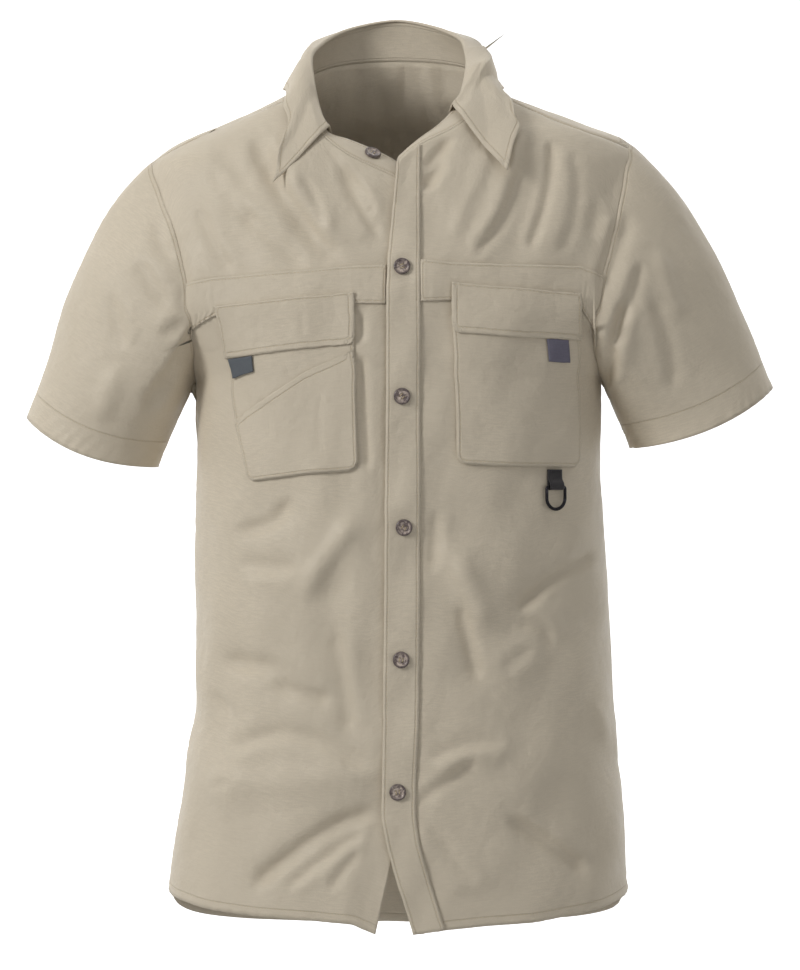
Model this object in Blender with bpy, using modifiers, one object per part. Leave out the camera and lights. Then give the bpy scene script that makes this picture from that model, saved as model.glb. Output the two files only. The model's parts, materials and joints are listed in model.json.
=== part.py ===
"""A short-sleeved button shirt with chest bands and two flap pockets, filled out with no wearer.

Frame: +X is the wearer's left, the front faces -Y and +Z is up. The origin is the centre of the neck at
shoulder height. Every cloth piece is a thin wall laid on one form, a stack of rounded rings, so seams meet.
Sizes and tables are in millimetres, and MM turns them into metres.
"""
import math

import bmesh
import bpy
import numpy as np
from mathutils import Matrix, Vector

MM = 0.001

CLOTH = 1.2  # thickness of every cloth wall
SEAM_GAP = 0.3  # clear way between pieces that meet at a seam
LAYER = 1.7  # step from one cloth layer to the next that lies on it
ROUNDNESS = 2.25  # exponent of the rings: 2 is an ellipse, more is squarer

BUTTON_RADIUS = 8.0
BUTTON_THICKNESS = 2.6
BUTTON_SEAT = 0.45  # clear way between a button's back and the cloth

RING_WIRE_RADIUS = 1.5
RING_BAR_LENGTH = 20.0
RING_DROP = 20.0  # from the bar's axis to the bow's lowest axis point
LOOP_WIDTH = 15.0
LOOP_HEIGHT = 17.0
WEBBING = 1.0

# The form's rings: height, half widths at the wearer's right (-X) and left (+X), half depths in front and behind
RINGS = (
    # z, right, left, front, back
    (-800, 216, 211, 127, 121),
    (-734, 212, 208, 126, 120),
    (-672, 203, 206, 124, 118),
    (-616, 195, 200, 123, 115),
    (-561, 187, 196, 122, 112),
    (-515, 187, 194, 122, 110),
    (-432, 187, 189, 123, 108),
    (-350, 186, 184, 125, 110),
    (-270, 187, 184, 126, 113),
    (-250, 196, 194, 126, 114),
    (-224, 218, 215, 125, 115),
    (-200, 240, 236, 123, 115),
    (-160, 244, 241, 117, 114),
    (-134, 243, 240, 112, 112),
    (-100, 236, 232, 104, 108),
    (-71, 230, 226, 93, 98),
    (-58, 213, 218, 86, 94),
    (-48, 194, 207, 80, 90),
    (-35, 165, 170, 73, 84),
    (-26, 147, 146, 68, 79),
    (-17, 128, 122, 63, 75),
    (0, 98, 88, 56, 70),
    (15, 90, 84, 51, 67),
    (40, 84, 78, 46, 65),
)

# Columns of each front at a few heights, as distances from the centre line towards its own side
FRONT_COLUMNS = {
    "right": (
        # z, edge, facing, pocket inner, neck point, pocket outer
        (-770, 24, 49, 90, 134, 168),
        (-687, 5, 28, 70, 112, 163),
        (-640, -8, 15, 58, 102, 158),
        (-600, -17, 12, 50, 96, 153),
        (-480, -17, 12, 42, 87, 143),
        (-360, -17, 12, 36, 80, 136),
        (-300, -17, 12, 38, 83, 148),
        (-235, -17, 12, 40, 84, 158),
        (-198, -17, 12, 40, 84, 166),
        (-90, -17, 12, 39, 88, 170),
    ),
    "left": (
        (-770, 14, 43, 80, 122, 168),
        (-646, -16, 14, 58, 104, 166),
        (-560, -15, 17, 52, 96, 164),
        (-350, -13, 18, 50, 92, 160),
        (-235, -12, 18, 47, 88, 160),
        (-198, -12, 18, 45, 86, 160),
        (-75, -3, 18, 46, 80, 162),
    ),
}

# Rows of each front: heights at the same columns and at the side, from the hem up, and the cells up to the next row
FRONT_ROWS = {
    "right": (
        # name, cells, edge, facing, pocket inner, neck point, pocket outer, side
        ("hem", 6, -761, -752, -749, -747, -744, -733),
        ("vent", 7, -560, -560, -560, -560, -560, -560),
        ("pocket bottom", 3, -352, -350, -351, -354, -361, -372),
        ("opening", 2, -290, -275, -243, -262, -304, -268),
        ("flap bottom", 2, -240, -240, -239, -242, -250, -253),
        ("band bottom", 1, -204, -203, -203, -206, -212, -224),
        ("flap top", 1, -195, -194, -193, -197, -204, -210),
        ("band top", 6, -168, -168, -169, -173, -178, -183),
    ),
    "left": (
        ("hem", 6, -761, -757, -754, -752, -746, -733),
        ("vent", 7, -598, -598, -598, -598, -598, -598),
        ("pocket bottom", 3, -346, -346, -345, -347, -348, -372),
        ("opening", 2, -285, -285, -285, -285, -285, -268),
        ("flap bottom", 2, -230, -230, -229, -231, -233, -253),
        ("band bottom", 1, -201, -201, -200, -203, -206, -224),
        ("flap top", 1, -190, -190, -184, -188, -193, -208),
        ("band top", 6, -164, -164, -166, -167, -168, -176),
    ),
}
COLUMN_CELLS = (2, 2, 3, 5, 4)  # cells between the columns above, the last up to the side
NECK_SHARES = (0.6, 0.88)  # places of the two columns between pocket inner and neck point on the neckline
ARMPIT_EASE = 1.6  # how the lowest rows of the armhole crowd towards the armpit

# Neckline, then shoulder seam: distance from the centre line and height
FRONT_TOP = {
    "right": ((-17, -95), (-3, -90), (12, -84), (39, -72), (56, -62), (70, -48), (81, -30), (88, -8),
              (106, -15), (150, -33), (191, -50), (226, -72)),
    "left": ((-3, -76), (8, -66), (18, -59), (32, -51), (46, -44), (62, -33), (74, -19), (80, -5),
             (98, -13), (140, -33), (180, -48), (207, -57)),
}

# Armhole edge: height, and distance from the centre line in front and behind
ARMHOLE = {
    "right": (
        # z, front, back
        (-268, 187, 187),
        (-258, 188, 190),
        (-244, 186, 191),
        (-224, 187, 194),
        (-201, 188, 197),
        (-178, 192, 201),
        (-155, 197, 206),
        (-134, 203, 211),
        (-100, 217, 221),
        (-72, 226, 226),
    ),
    "left": (
        (-268, 184, 184),
        (-258, 180, 186),
        (-244, 175, 187),
        (-224, 173, 188),
        (-201, 175, 190),
        (-178, 181, 194),
        (-155, 187, 199),
        (-134, 192, 204),
        (-100, 200, 211),
        (-57, 207, 207),
    ),
}

# Neck edge of the yoke: angle round the form from the front, and height
YOKE_NECK = ((54, -7), (75, 0), (90, 6), (110, 15), (140, 28), (165, 33), (180, 34))
YOKE_CELLS_SIDE = 3
YOKE_CELLS_BACK = 18
YOKE_BACK_CENTRE = -92  # height of the seam between yoke and back
YOKE_BACK_CORNER = -100
BACK_CELLS_ARMHOLE = 6
BACK_HEM_SIDE = -740
BACK_HEM_CENTRE = -780
VENT_SPREAD = 9  # degrees that the back's free edge lies behind the front's at the hem

# Cuffs: centre, half width, half depth, and how far front and back hang below the ends
CUFFS = {
    # x, z, half width, half depth, hang
    "right": (-283, -324, 64, 57, 13),
    "left": (276.5, -302, 72, 58, 12),
}
CUFF_TILT = {"right": 20.7, "left": -22.8}  # degrees that the cuff's line dips towards the body
SLEEVE_CELLS = 9

# Top line of the collar stand, where the leaf folds over: place along the neck edge, and position
STAND_TOP = (
    # place, x, y, z
    (0, 8, -79, -80),
    (2, -14, -77, -67),
    (4, -46, -74, -53),
    (5, -63, -64, -46.5),
    (6, -73, -52, -26),
    (7, -79, -40, 0),
    (10, -82, -14, 27),
    (13, -72, 19, 45),
    (16, -43, 53, 63),
    (19, -3, 65, 71),
    (22, 34, 52, 63),
    (25, 59, 22, 46),
    (28, 62, -6, 26),
    (31, 61, -20, 15),
    (32, 57, -38, -6),
    (33, 46, -51, -26),
    (34, 36, -59, -37),
    (36, 15, -73, -54),
    (38, 2, -76, -66),
)
LEAF_FIRST, LEAF_LAST = 5, 33  # places where the leaf starts and ends
LEAF_CLEAR = 4.0  # least distance of the leaf from the form
# Outer edge of the leaf: place, angle round the form, height there, and how far it stands off the form
LEAF_EDGE = (
    # place, angle, z, stand-off
    (5, -26, -97, 10),
    (6, -25, -72, 9),
    (7, -30, -44, 8),
    (8, -43, -25, 7),
    (9, -58, -12, 6),
    (10, -76, -6, 6),
    (12, -100, -4, 6),
    (14, -120, 3, 6),
    (16, -145, 15, 7),
    (19, -180, 27, 8),
    (22, -215, 15, 7),
    (24, -240, 4, 6),
    (26, -260, -3, 6),
    (28, -284, -5, 6),
    (29, -299, -10, 6),
    (30, -314, -21, 7),
    (31, -329, -41, 8),
    (32, -336, -66, 9),
    (33, -338.5, -88, 10),
)

# Folds of the fronts and the back: ends, half width and height of each soft ridge (+) or trough (-)
FRONT_FOLDS = (
    # x1, z1, x2, z2, half width, height
    (-132, -44, -60, -168, 12, -3.5),
    (-100, -90, -56, -168, 10, 3.0),
    (-54, -84, -20, -150, 10, -3.0),
    (112, -48, 68, -160, 13, 3.5),
    (136, -52, 104, -156, 12, -3.0),
    (44, -52, 24, -100, 9, -3.0),
    (-40, -392, -86, -462, 15, 4.5),
    (-146, -404, -98, -382, 13, -3.5),
    (-60, -486, -46, -585, 14, -3.5),
    (-158, -518, -58, -556, 14, -4.0),
    (-20, -652, -132, -722, 14, -4.5),
    (-172, -634, -24, -618, 16, 4.0),
    (46, -418, 78, -488, 14, 5.0),
    (100, -478, 178, -428, 13, -4.5),
    (84, -528, 122, -502, 13, 3.5),
    (54, -468, 70, -540, 12, -3.0),
    (22, -608, 98, -594, 14, 3.5),
    (94, -658, 168, -710, 14, -4.0),
    (30, -664, 70, -718, 13, 4.0),
)
BACK_FOLDS = (
    (-120, -150, -70, -300, 22, -4.5),
    (118, -140, 76, -290, 22, -4.5),
    (-100, -360, 40, -420, 24, 4.5),
    (130, -380, 20, -470, 22, -4.0),
    (-140, -500, -20, -560, 24, -4.5),
    (140, -560, 30, -640, 24, 4.5),
    (-90, -620, -70, -740, 22, 4.0),
    (60, -680, 90, -770, 20, -3.5),
)

# Buttons down the placket, and the two on the collar stand's buttonhole end, as seen from the front
PLACKET_BUTTONS = ((1.8, -170), (1.8, -285), (3.5, -401), (1.0, -518), (-2.0, -635))
# Tabs at the flaps' lower edges: cells from the pocket's inner edge, and hang below the flap
TABS = {"right": (6.15, 7.75, 17), "left": (5.85, 7.15, 16)}


def smooth(table_x, table_y, x):
    """Values of a smooth curve through the table's points, with no overshoot between them."""
    tx = np.asarray(table_x, float)
    ty = np.asarray(table_y, float)
    if tx[0] > tx[-1]:
        tx, ty = tx[::-1], ty[::-1]
    step = np.diff(tx)
    slope = np.diff(ty) / step
    tangent = np.zeros(len(tx))
    tangent[0], tangent[-1] = slope[0], slope[-1]
    for i in range(1, len(tx) - 1):
        if slope[i - 1] * slope[i] > 0:
            w1 = 2 * step[i] + step[i - 1]
            w2 = step[i] + 2 * step[i - 1]
            tangent[i] = (w1 + w2) / (w1 / slope[i - 1] + w2 / slope[i])
    x = np.clip(np.asarray(x, float), tx[0], tx[-1])
    i = np.clip(np.searchsorted(tx, x, side="right") - 1, 0, len(tx) - 2)
    h = step[i]
    s = (x - tx[i]) / h
    return (ty[i] * (1 + 2 * s) * (1 - s) ** 2 + h * tangent[i] * s * (1 - s) ** 2
            + ty[i + 1] * s * s * (3 - 2 * s) + h * tangent[i + 1] * s * s * (s - 1))


def unit(v):
    """Vectors along the last axis brought to length 1."""
    return v / np.maximum(np.linalg.norm(v, axis=-1, keepdims=True), 1e-12)


def soft_step(x):
    x = np.clip(x, 0.0, 1.0)
    return x * x * (3 - 2 * x)


def ring_sizes(z):
    rings = np.array(RINGS, float)
    return [smooth(rings[:, 0], rings[:, k], z) for k in range(1, 5)]


def ring_point(angle, z):
    """Point of the bare form at an angle from the front (towards +X) and a height."""
    right, left, front, back = ring_sizes(z)
    s, c = np.sin(angle), np.cos(angle)
    wide = np.where(s < 0, right, left)
    deep = np.where(c > 0, front, back)
    power = 2 / ROUNDNESS
    return np.stack([wide * np.sign(s) * np.abs(s) ** power, -deep * np.sign(c) * np.abs(c) ** power, z + 0 * s], -1)


def angle_at(x, z):
    """Angle from the front at which the form's front half has this x."""
    right, left, _, _ = ring_sizes(z)
    wide = np.where(x < 0, right, left)
    return np.sign(x) * np.arcsin(np.clip(np.abs(x) / wide, 0, 1) ** (ROUNDNESS / 2))


def place_from_above(x, y):
    """Angle and height of the shoulders' surface where it is seen from above at this place."""
    low, high = np.full(len(x), -150.0), np.full(len(x), 40.0)
    for _ in range(40):
        z = (low + high) / 2
        right, left, front, back = ring_sizes(z)
        wide = np.where(x < 0, right, left)
        deep = np.where(y < 0, front, back)
        outside = (np.abs(x) / wide) ** ROUNDNESS + (np.abs(y) / deep) ** ROUNDNESS > 1
        high = np.where(outside, z, high)
        low = np.where(outside, low, z)
    half = ROUNDNESS / 2
    return np.arctan2(np.sign(x) * (np.abs(x) / wide) ** half, -np.sign(y) * (np.abs(y) / deep) ** half), z


def folds(x, z, table):
    """Height of the soft folds at a place seen from the front or the back."""
    total = np.zeros(np.broadcast(x, z).shape)
    for x1, z1, x2, z2, width, height in table:
        length = math.hypot(x2 - x1, z2 - z1)
        ux, uz = (x2 - x1) / length, (z2 - z1) / length
        along = (x - x1) * ux + (z - z1) * uz
        across = (x - x1) * -uz + (z - z1) * ux
        ends = soft_step((along + width) / (2 * width)) * soft_step((length + width - along) / (2 * width))
        total = total + height * ends * np.exp(-(across / width) ** 2)
    return total


def surface(angle, z):
    """Point of the form with its folds, which fade at the side and shoulder seams."""
    p = ring_point(angle, z)
    step = 0.004
    n = unit(np.cross(ring_point(angle + step, z) - ring_point(angle - step, z),
                      ring_point(angle, z + 1) - ring_point(angle, z - 1)))
    x = p[..., 0]
    shoulder = -6 - 0.46 * np.maximum(np.abs(x) - 83, 0)
    ahead = np.cos(angle)
    front = folds(x, z, FRONT_FOLDS) * soft_step(ahead * 3) * soft_step((shoulder - z - 14) / 30)
    back = folds(x, z, BACK_FOLDS) * soft_step(-ahead * 3)
    return p + n * (front + back)[..., None]


def surface_normal(angle, z):
    step = 0.02
    return unit(np.cross(surface(angle + step, z) - surface(angle - step, z),
                         surface(angle, z + 2) - surface(angle, z - 2)))


def clear_of_form(p, distance):
    """Points moved out along the form's normals until they lie at least this far outside it."""

    def depth(q):
        right, left, front, back = ring_sizes(q[..., 2])
        wide = np.where(q[..., 0] < 0, right, left)
        deep = np.where(q[..., 1] < 0, front, back)
        total = (np.abs(q[..., 0]) / wide) ** ROUNDNESS + (np.abs(q[..., 1]) / deep) ** ROUNDNESS
        return total ** (1 / ROUNDNESS) - 1

    for _ in range(4):
        here = depth(p)
        slope = np.stack([depth(p + step) - depth(p - step) for step in np.eye(3) * 0.5], -1)
        steep = np.linalg.norm(slope, axis=-1)
        away = here / steep
        p = p + slope / steep[..., None] * np.maximum(distance - away, 0)[..., None]
    return p


class Sheet:
    """A grid of points with their normals: rows run up, columns run towards the wearer's left."""

    def __init__(self, points, normals, ring=False):
        self.p = np.array(points, float)
        self.n = np.array(normals, float)
        self.ring = ring

    @classmethod
    def on_form(cls, angle, z):
        return cls(surface(angle, z), surface_normal(angle, z))

    def at(self, row, column):
        """Point and normal at a place between the grid's lines."""
        j = min(int(row), self.p.shape[0] - 2)
        i = min(int(column), self.p.shape[1] - 2)
        v, u = row - j, column - i
        mix = [(1 - v) * (1 - u), (1 - v) * u, v * (1 - u), v * u]
        spots = [(j, i), (j, i + 1), (j + 1, i), (j + 1, i + 1)]
        p = sum(m * self.p[s] for m, s in zip(mix, spots))
        n = sum(m * self.n[s] for m, s in zip(mix, spots))
        return p, unit(n)

    def patch(self, rows, columns, lift):
        """A piece that lies on this sheet, made from its points moved out; lift may vary over the piece."""
        p = np.zeros((len(rows), len(columns), 3))
        n = np.zeros_like(p)
        for a, row in enumerate(rows):
            for b, column in enumerate(columns):
                p[a, b], n[a, b] = self.at(row, column)
        lift = np.broadcast_to(np.asarray(lift, float), p.shape[:2])
        return Sheet(p + n * lift[..., None], n)

    def drawn_in(self, gap=SEAM_GAP / 2):
        """The sheet with each of its edges drawn in, so that neighbours keep a clear way."""
        shift = np.zeros_like(self.p)
        edges = [(0, slice(None), 1), (-1, slice(None), -2)]
        if not self.ring:
            edges += [(slice(None), 0, 1), (slice(None), -1, -2)]
        for k, (row, column, inner) in enumerate(edges):
            line = self.p[row, column]
            inside = self.p[inner, column] if k < 2 else self.p[row, inner]
            if self.ring:
                along = np.roll(line, -1, 0) - np.roll(line, 1, 0)
            else:
                along = np.gradient(line, axis=0)
            across = unit(np.cross(self.n[row, column], along))
            side = np.sign(np.sum(across * (inside - line), -1, keepdims=True))
            shift[row, column] += across * side * gap
        return Sheet(self.p + shift, self.n, self.ring)


def collection(name):
    group = bpy.data.collections.new(name)
    bpy.context.scene.collection.children.link(group)
    return group


def material(name, colour, roughness, metallic=0.0):
    """A plain Principled material; the colour is given as its displayed red, green and blue."""
    mat = bpy.data.materials.new(name)
    mat.use_nodes = True
    shader = mat.node_tree.nodes["Principled BSDF"]
    linear = [((c / 255 + 0.055) / 1.055) ** 2.4 for c in colour]
    shader.inputs["Base Color"].default_value = (*linear, 1.0)
    shader.inputs["Roughness"].default_value = roughness
    shader.inputs["Metallic"].default_value = metallic
    return mat


def add_object(group, name, mesh, mat):
    obj = bpy.data.objects.new(name, mesh)
    group.objects.link(obj)
    obj.data.materials.append(mat)
    mesh.shade_smooth()
    mesh.set_sharp_from_angle(angle=math.radians(40))
    return obj


def wall(group, name, sheet, mat, thickness=CLOTH):
    """A closed wall on both sides of a sheet of points."""
    facing = np.cross(sheet.p[1, 1] - sheet.p[1, 0], sheet.p[1, 0] - sheet.p[0, 0])
    if np.dot(facing, sheet.n[1, 0]) < 0:
        sheet = Sheet(sheet.p[:, ::-1], sheet.n[:, ::-1], sheet.ring)
    rows, columns = sheet.p.shape[:2]
    outer = sheet.p + sheet.n * thickness / 2
    inner = sheet.p - sheet.n * thickness / 2
    points = np.concatenate([outer.reshape(-1, 3), inner.reshape(-1, 3)]) * MM
    under = rows * columns

    def spot(j, i):
        return j * columns + i % columns

    faces = []
    for j in range(rows - 1):
        for i in range(columns if sheet.ring else columns - 1):
            quad = [spot(j, i), spot(j, i + 1), spot(j + 1, i + 1), spot(j + 1, i)]
            faces.append(quad)
            faces.append([under + q for q in (quad[0], quad[3], quad[2], quad[1])])
    if sheet.ring:
        rims = [[spot(0, i) for i in range(columns + 1)], [spot(rows - 1, -i) for i in range(columns + 1)]]
    else:
        rims = [[spot(0, i) for i in range(columns)] + [spot(j, columns - 1) for j in range(1, rows)]
                + [spot(rows - 1, i) for i in range(columns - 2, -1, -1)]
                + [spot(j, 0) for j in range(rows - 2, -1, -1)]]
    for rim in rims:
        for a, b in zip(rim, rim[1:]):
            faces.append([b, a, under + a, under + b])
    mesh = bpy.data.meshes.new(name)
    mesh.from_pydata(points.tolist(), [], faces)
    mesh.update()
    return add_object(group, name, mesh, mat)


def spread(cells, values):
    """Places between the values, with the given number of cells from each to the next."""
    out = [values[0]]
    for count, a, b in zip(cells, values, values[1:]):
        out += [a + (b - a) * (k + 1) / count for k in range(count)]
    return np.array(out, float)


def row_index(side, name):
    """Grid row at which a named row of a front lies."""
    total = 0
    for row in FRONT_ROWS[side]:
        if row[0] == name:
            return total
        total += row[1]
    return total


def column_index(number):
    """Grid column at which a named column of a front lies: 0 edge, 1 facing, 2 pocket inner, and so on."""
    return sum(COLUMN_CELLS[:number])


def front_panel(side):
    """One front: its grid follows the placket, the pocket's edges, the armhole and the neckline."""
    sign = -1 if side == "right" else 1
    rows = FRONT_ROWS[side]
    cells = [row[1] for row in rows]
    heights = np.array([row[2:] for row in rows], float)
    columns = np.array(FRONT_COLUMNS[side], float)
    armhole = np.array(ARMHOLE[side], float)
    low = [spread(cells[:-1], heights[:, c]) for c in range(6)]
    x_low = [smooth(columns[:, 0], columns[:, c + 1], low[c]) for c in range(5)]
    body = COLUMN_CELLS[:4]
    z_body = np.array([spread(body, [low[c][j] for c in range(5)]) for j in range(len(low[0]))])
    x_body = np.array([spread(body, [x_low[c][j] for c in range(5)]) for j in range(len(low[0]))])
    top = np.array(FRONT_TOP[side], float)
    top_x = spread(body, [top[0, 0], columns[-1, 2], columns[-1, 3], columns[-1, 4], columns[-1, 5] + 6])
    neck = column_index(2)
    for k, part in enumerate(NECK_SHARES, 1):
        top_x[neck + k] = top_x[neck] + (top_x[neck + 3] - top_x[neck]) * part
    top_z = smooth(top[:, 0], top[:, 1], top_x)
    share = (np.arange(1, cells[-1] + 1) / cells[-1])[:, None]
    z_body = np.concatenate([z_body, z_body[-1] * (1 - share) + top_z * share])
    x_body = np.concatenate([x_body, x_body[-1] * (1 - share) + top_x * share])
    angle = angle_at(sign * x_body, z_body)
    armpit = row_index(side, "opening")
    over = row_index(side, "band bottom")
    ease = (np.arange(over - armpit + 1) / (over - armpit)) ** ARMPIT_EASE
    low[5][armpit:over + 1] = low[5][armpit] + (low[5][over] - low[5][armpit]) * ease
    z_side = np.concatenate([low[5], low[5][-1] * (1 - share[:, 0]) + top[-1, 1] * share[:, 0]])
    x_side = smooth(armhole[:, 0], armhole[:, 1], z_side)
    side_angle = np.where(z_side > armhole[0, 0] + 0.5, angle_at(sign * x_side, z_side), sign * math.pi / 2)
    share = np.arange(1, COLUMN_CELLS[4] + 1) / COLUMN_CELLS[4]
    angle = np.concatenate([angle, angle[:, -1:] * (1 - share) + side_angle[:, None] * share], 1)
    z_extra = z_body[:, -1:] * (1 - share) + z_side[:, None] * share
    z_extra[-1] = smooth(top[:, 0], top[:, 1], np.abs(ring_point(angle[-1, -4:], z_extra[-1])[:, 0]))
    z_extra[-1, -1] = top[-1, 1]
    z = np.concatenate([z_body, z_extra], 1)
    sheet = Sheet.on_form(angle, z)
    if side == "right":
        depth = np.interp(np.arange(z.shape[1]), [0, 2, 4], [-3.2, -2.4, 0.0])
        sheet.p += sheet.n * depth[None, :, None]
        sheet = Sheet(sheet.p[:, ::-1], sheet.n[:, ::-1])
    sheet.angle, sheet.z = (angle[:, ::-1], z[:, ::-1]) if side == "right" else (angle, z)
    return sheet


def back_panel(fronts):
    """The back, from side seam to side seam, under the yoke."""
    armpit = row_index("right", "opening")
    edges = []
    for side in ("right", "left"):
        armhole = np.array(ARMHOLE[side], float)
        vent = row_index(side, "vent")
        z = fronts[side].z[:, 0 if side == "right" else -1][:armpit + 1].copy()
        z[:vent] = BACK_HEM_SIDE + (z[vent] - BACK_HEM_SIDE) * np.arange(vent) / vent
        angle = np.full(len(z), math.pi / 2)
        angle[:vent] -= math.radians(VENT_SPREAD) * (1 - np.arange(vent) / vent)
        z_up = armhole[0, 0] + (YOKE_BACK_CORNER - armhole[0, 0]) * np.arange(1, BACK_CELLS_ARMHOLE + 1) / BACK_CELLS_ARMHOLE
        x_up = smooth(armhole[:, 0], armhole[:, 2], z_up)
        sign = -1 if side == "right" else 1
        angle_up = np.abs(angle_at(sign * x_up, z_up))
        edges.append((np.concatenate([z, z_up]), sign * np.concatenate([angle, angle_up])))
    share = np.arange(YOKE_CELLS_BACK + 1) / YOKE_CELLS_BACK
    z = edges[0][0][:, None] * (1 - share) + edges[1][0][:, None] * share
    angle = edges[0][1][:, None] * (1 - share) + edges[1][1][:, None] * share
    bow = (1 - (2 * share - 1) ** 2)
    hem = (BACK_HEM_CENTRE - BACK_HEM_SIDE) * bow ** 0.6
    yoke = (YOKE_BACK_CENTRE - YOKE_BACK_CORNER) * bow
    row = np.arange(len(z))
    vent = row_index("right", "vent")
    z += np.outer(np.clip(1 - row / vent, 0, 1), hem)
    z += np.outer(np.clip((row - armpit) / BACK_CELLS_ARMHOLE, 0, 1), yoke)
    sheet = Sheet.on_form(math.pi - angle, z)
    sheet.angle, sheet.z = math.pi - angle, z
    return sheet


def yoke_panel(fronts, back):
    """The yoke, as rays from the neck edge out to the shoulder seams, armholes and back seam."""
    neck_table = np.array(YOKE_NECK, float)
    first = column_index(3)
    cells = 9
    seams = {}
    for side in ("right", "left"):
        f = fronts[side]
        a, z = f.angle[-1], f.z[-1]
        if side == "right":
            a, z = a[::-1], z[::-1]
        seams[side] = (np.abs(a[first:]), z[first:])
    starts = [math.degrees(seams[side][0][0]) for side in ("right", "left")]
    heights = [seams[side][1][0] for side in ("right", "left")]
    side_rays = [start + (81 - start) * np.arange(YOKE_CELLS_SIDE + 1) / YOKE_CELLS_SIDE for start in starts]
    back_rays = 81 + (279 - 81) * np.arange(1, YOKE_CELLS_BACK) / YOKE_CELLS_BACK
    around = np.concatenate([side_rays[0], back_rays, 360 - side_rays[1][::-1]])
    folded = np.where(around > 180, 360 - around, around)
    neck_z = smooth(neck_table[:, 0], neck_table[:, 1], folded)
    neck_z[0], neck_z[-1] = heights
    corner = [back.z[-1, 0], back.z[-1, -1]]
    outer_angle, outer_z = [], []
    for side, end in (("right", 0), ("left", 1)):
        tip_angle, tip_z = seams[side][0][-1], seams[side][1][-1]
        corner_angle = abs(back.angle[-1, 0 if end == 0 else -1])
        corner_angle = corner_angle if end == 1 else 2 * math.pi - corner_angle
        share = np.arange(YOKE_CELLS_SIDE + 1) / YOKE_CELLS_SIDE
        edge_angle = tip_angle + (corner_angle - tip_angle) * share
        tip_x, corner_x = ARMHOLE[side][-1][1], abs(ring_point(corner_angle, corner[end])[0])
        edge_x = tip_x + (corner_x - tip_x) * share
        slope_z = np.linspace(-150, 0, 151)
        slope_x = ring_sizes(slope_z)[end]
        edge_z = np.interp(-edge_x / np.sin(edge_angle) ** (2 / ROUNDNESS), -slope_x, slope_z)
        edge_z[0], edge_z[-1] = tip_z, corner[end]
        outer_angle.append(edge_angle)
        outer_z.append(edge_z)
    back_angle = 2 * math.pi - back.angle[-1, 1:-1]
    ring_angle = np.concatenate([outer_angle[0], back_angle, 2 * math.pi - outer_angle[1][::-1]])
    ring_z = np.concatenate([outer_z[0], back.z[-1, 1:-1], outer_z[1][::-1]])
    neck_point = ring_point(-np.radians(around), neck_z)
    ring_point_out = ring_point(-ring_angle, ring_z)
    rows_angle, rows_z = [], []
    for k in range(cells + 1):
        share = k / cells
        plan = neck_point * (1 - share) + ring_point_out * share
        row_angle, row_z = place_from_above(plan[:, 0], plan[:, 1])
        if k in (0, cells):
            row_angle, row_z = (-np.radians(around), neck_z) if k == 0 else (-ring_angle, ring_z)
        rows_angle.append(row_angle)
        rows_z.append(row_z)
    z, angle = np.array(rows_z), np.array(rows_angle)
    for column, side in ((0, "right"), (-1, "left")):
        sign = -1 if side == "right" else 1
        angle[:, column] = sign * seams[side][0]
        z[:, column] = seams[side][1]
    sheet = Sheet.on_form(angle[::-1], z[::-1])
    return sheet


def armhole_edge(side, fronts, yoke, back):
    """References to the grid points round an armhole, from the armpit up the front and down the back."""
    armpit = row_index("right", "opening")
    front, column = fronts[side], 0 if side == "right" else -1
    spots = [(front, j, column) for j in range(armpit, front.p.shape[0])]
    yoke_columns = range(1, YOKE_CELLS_SIDE + 1)
    spots += [(yoke, 0, i if side == "right" else yoke.p.shape[1] - 1 - i) for i in yoke_columns]
    spots += [(back, j, column) for j in range(back.p.shape[0] - 2, armpit, -1)]
    return spots


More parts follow.
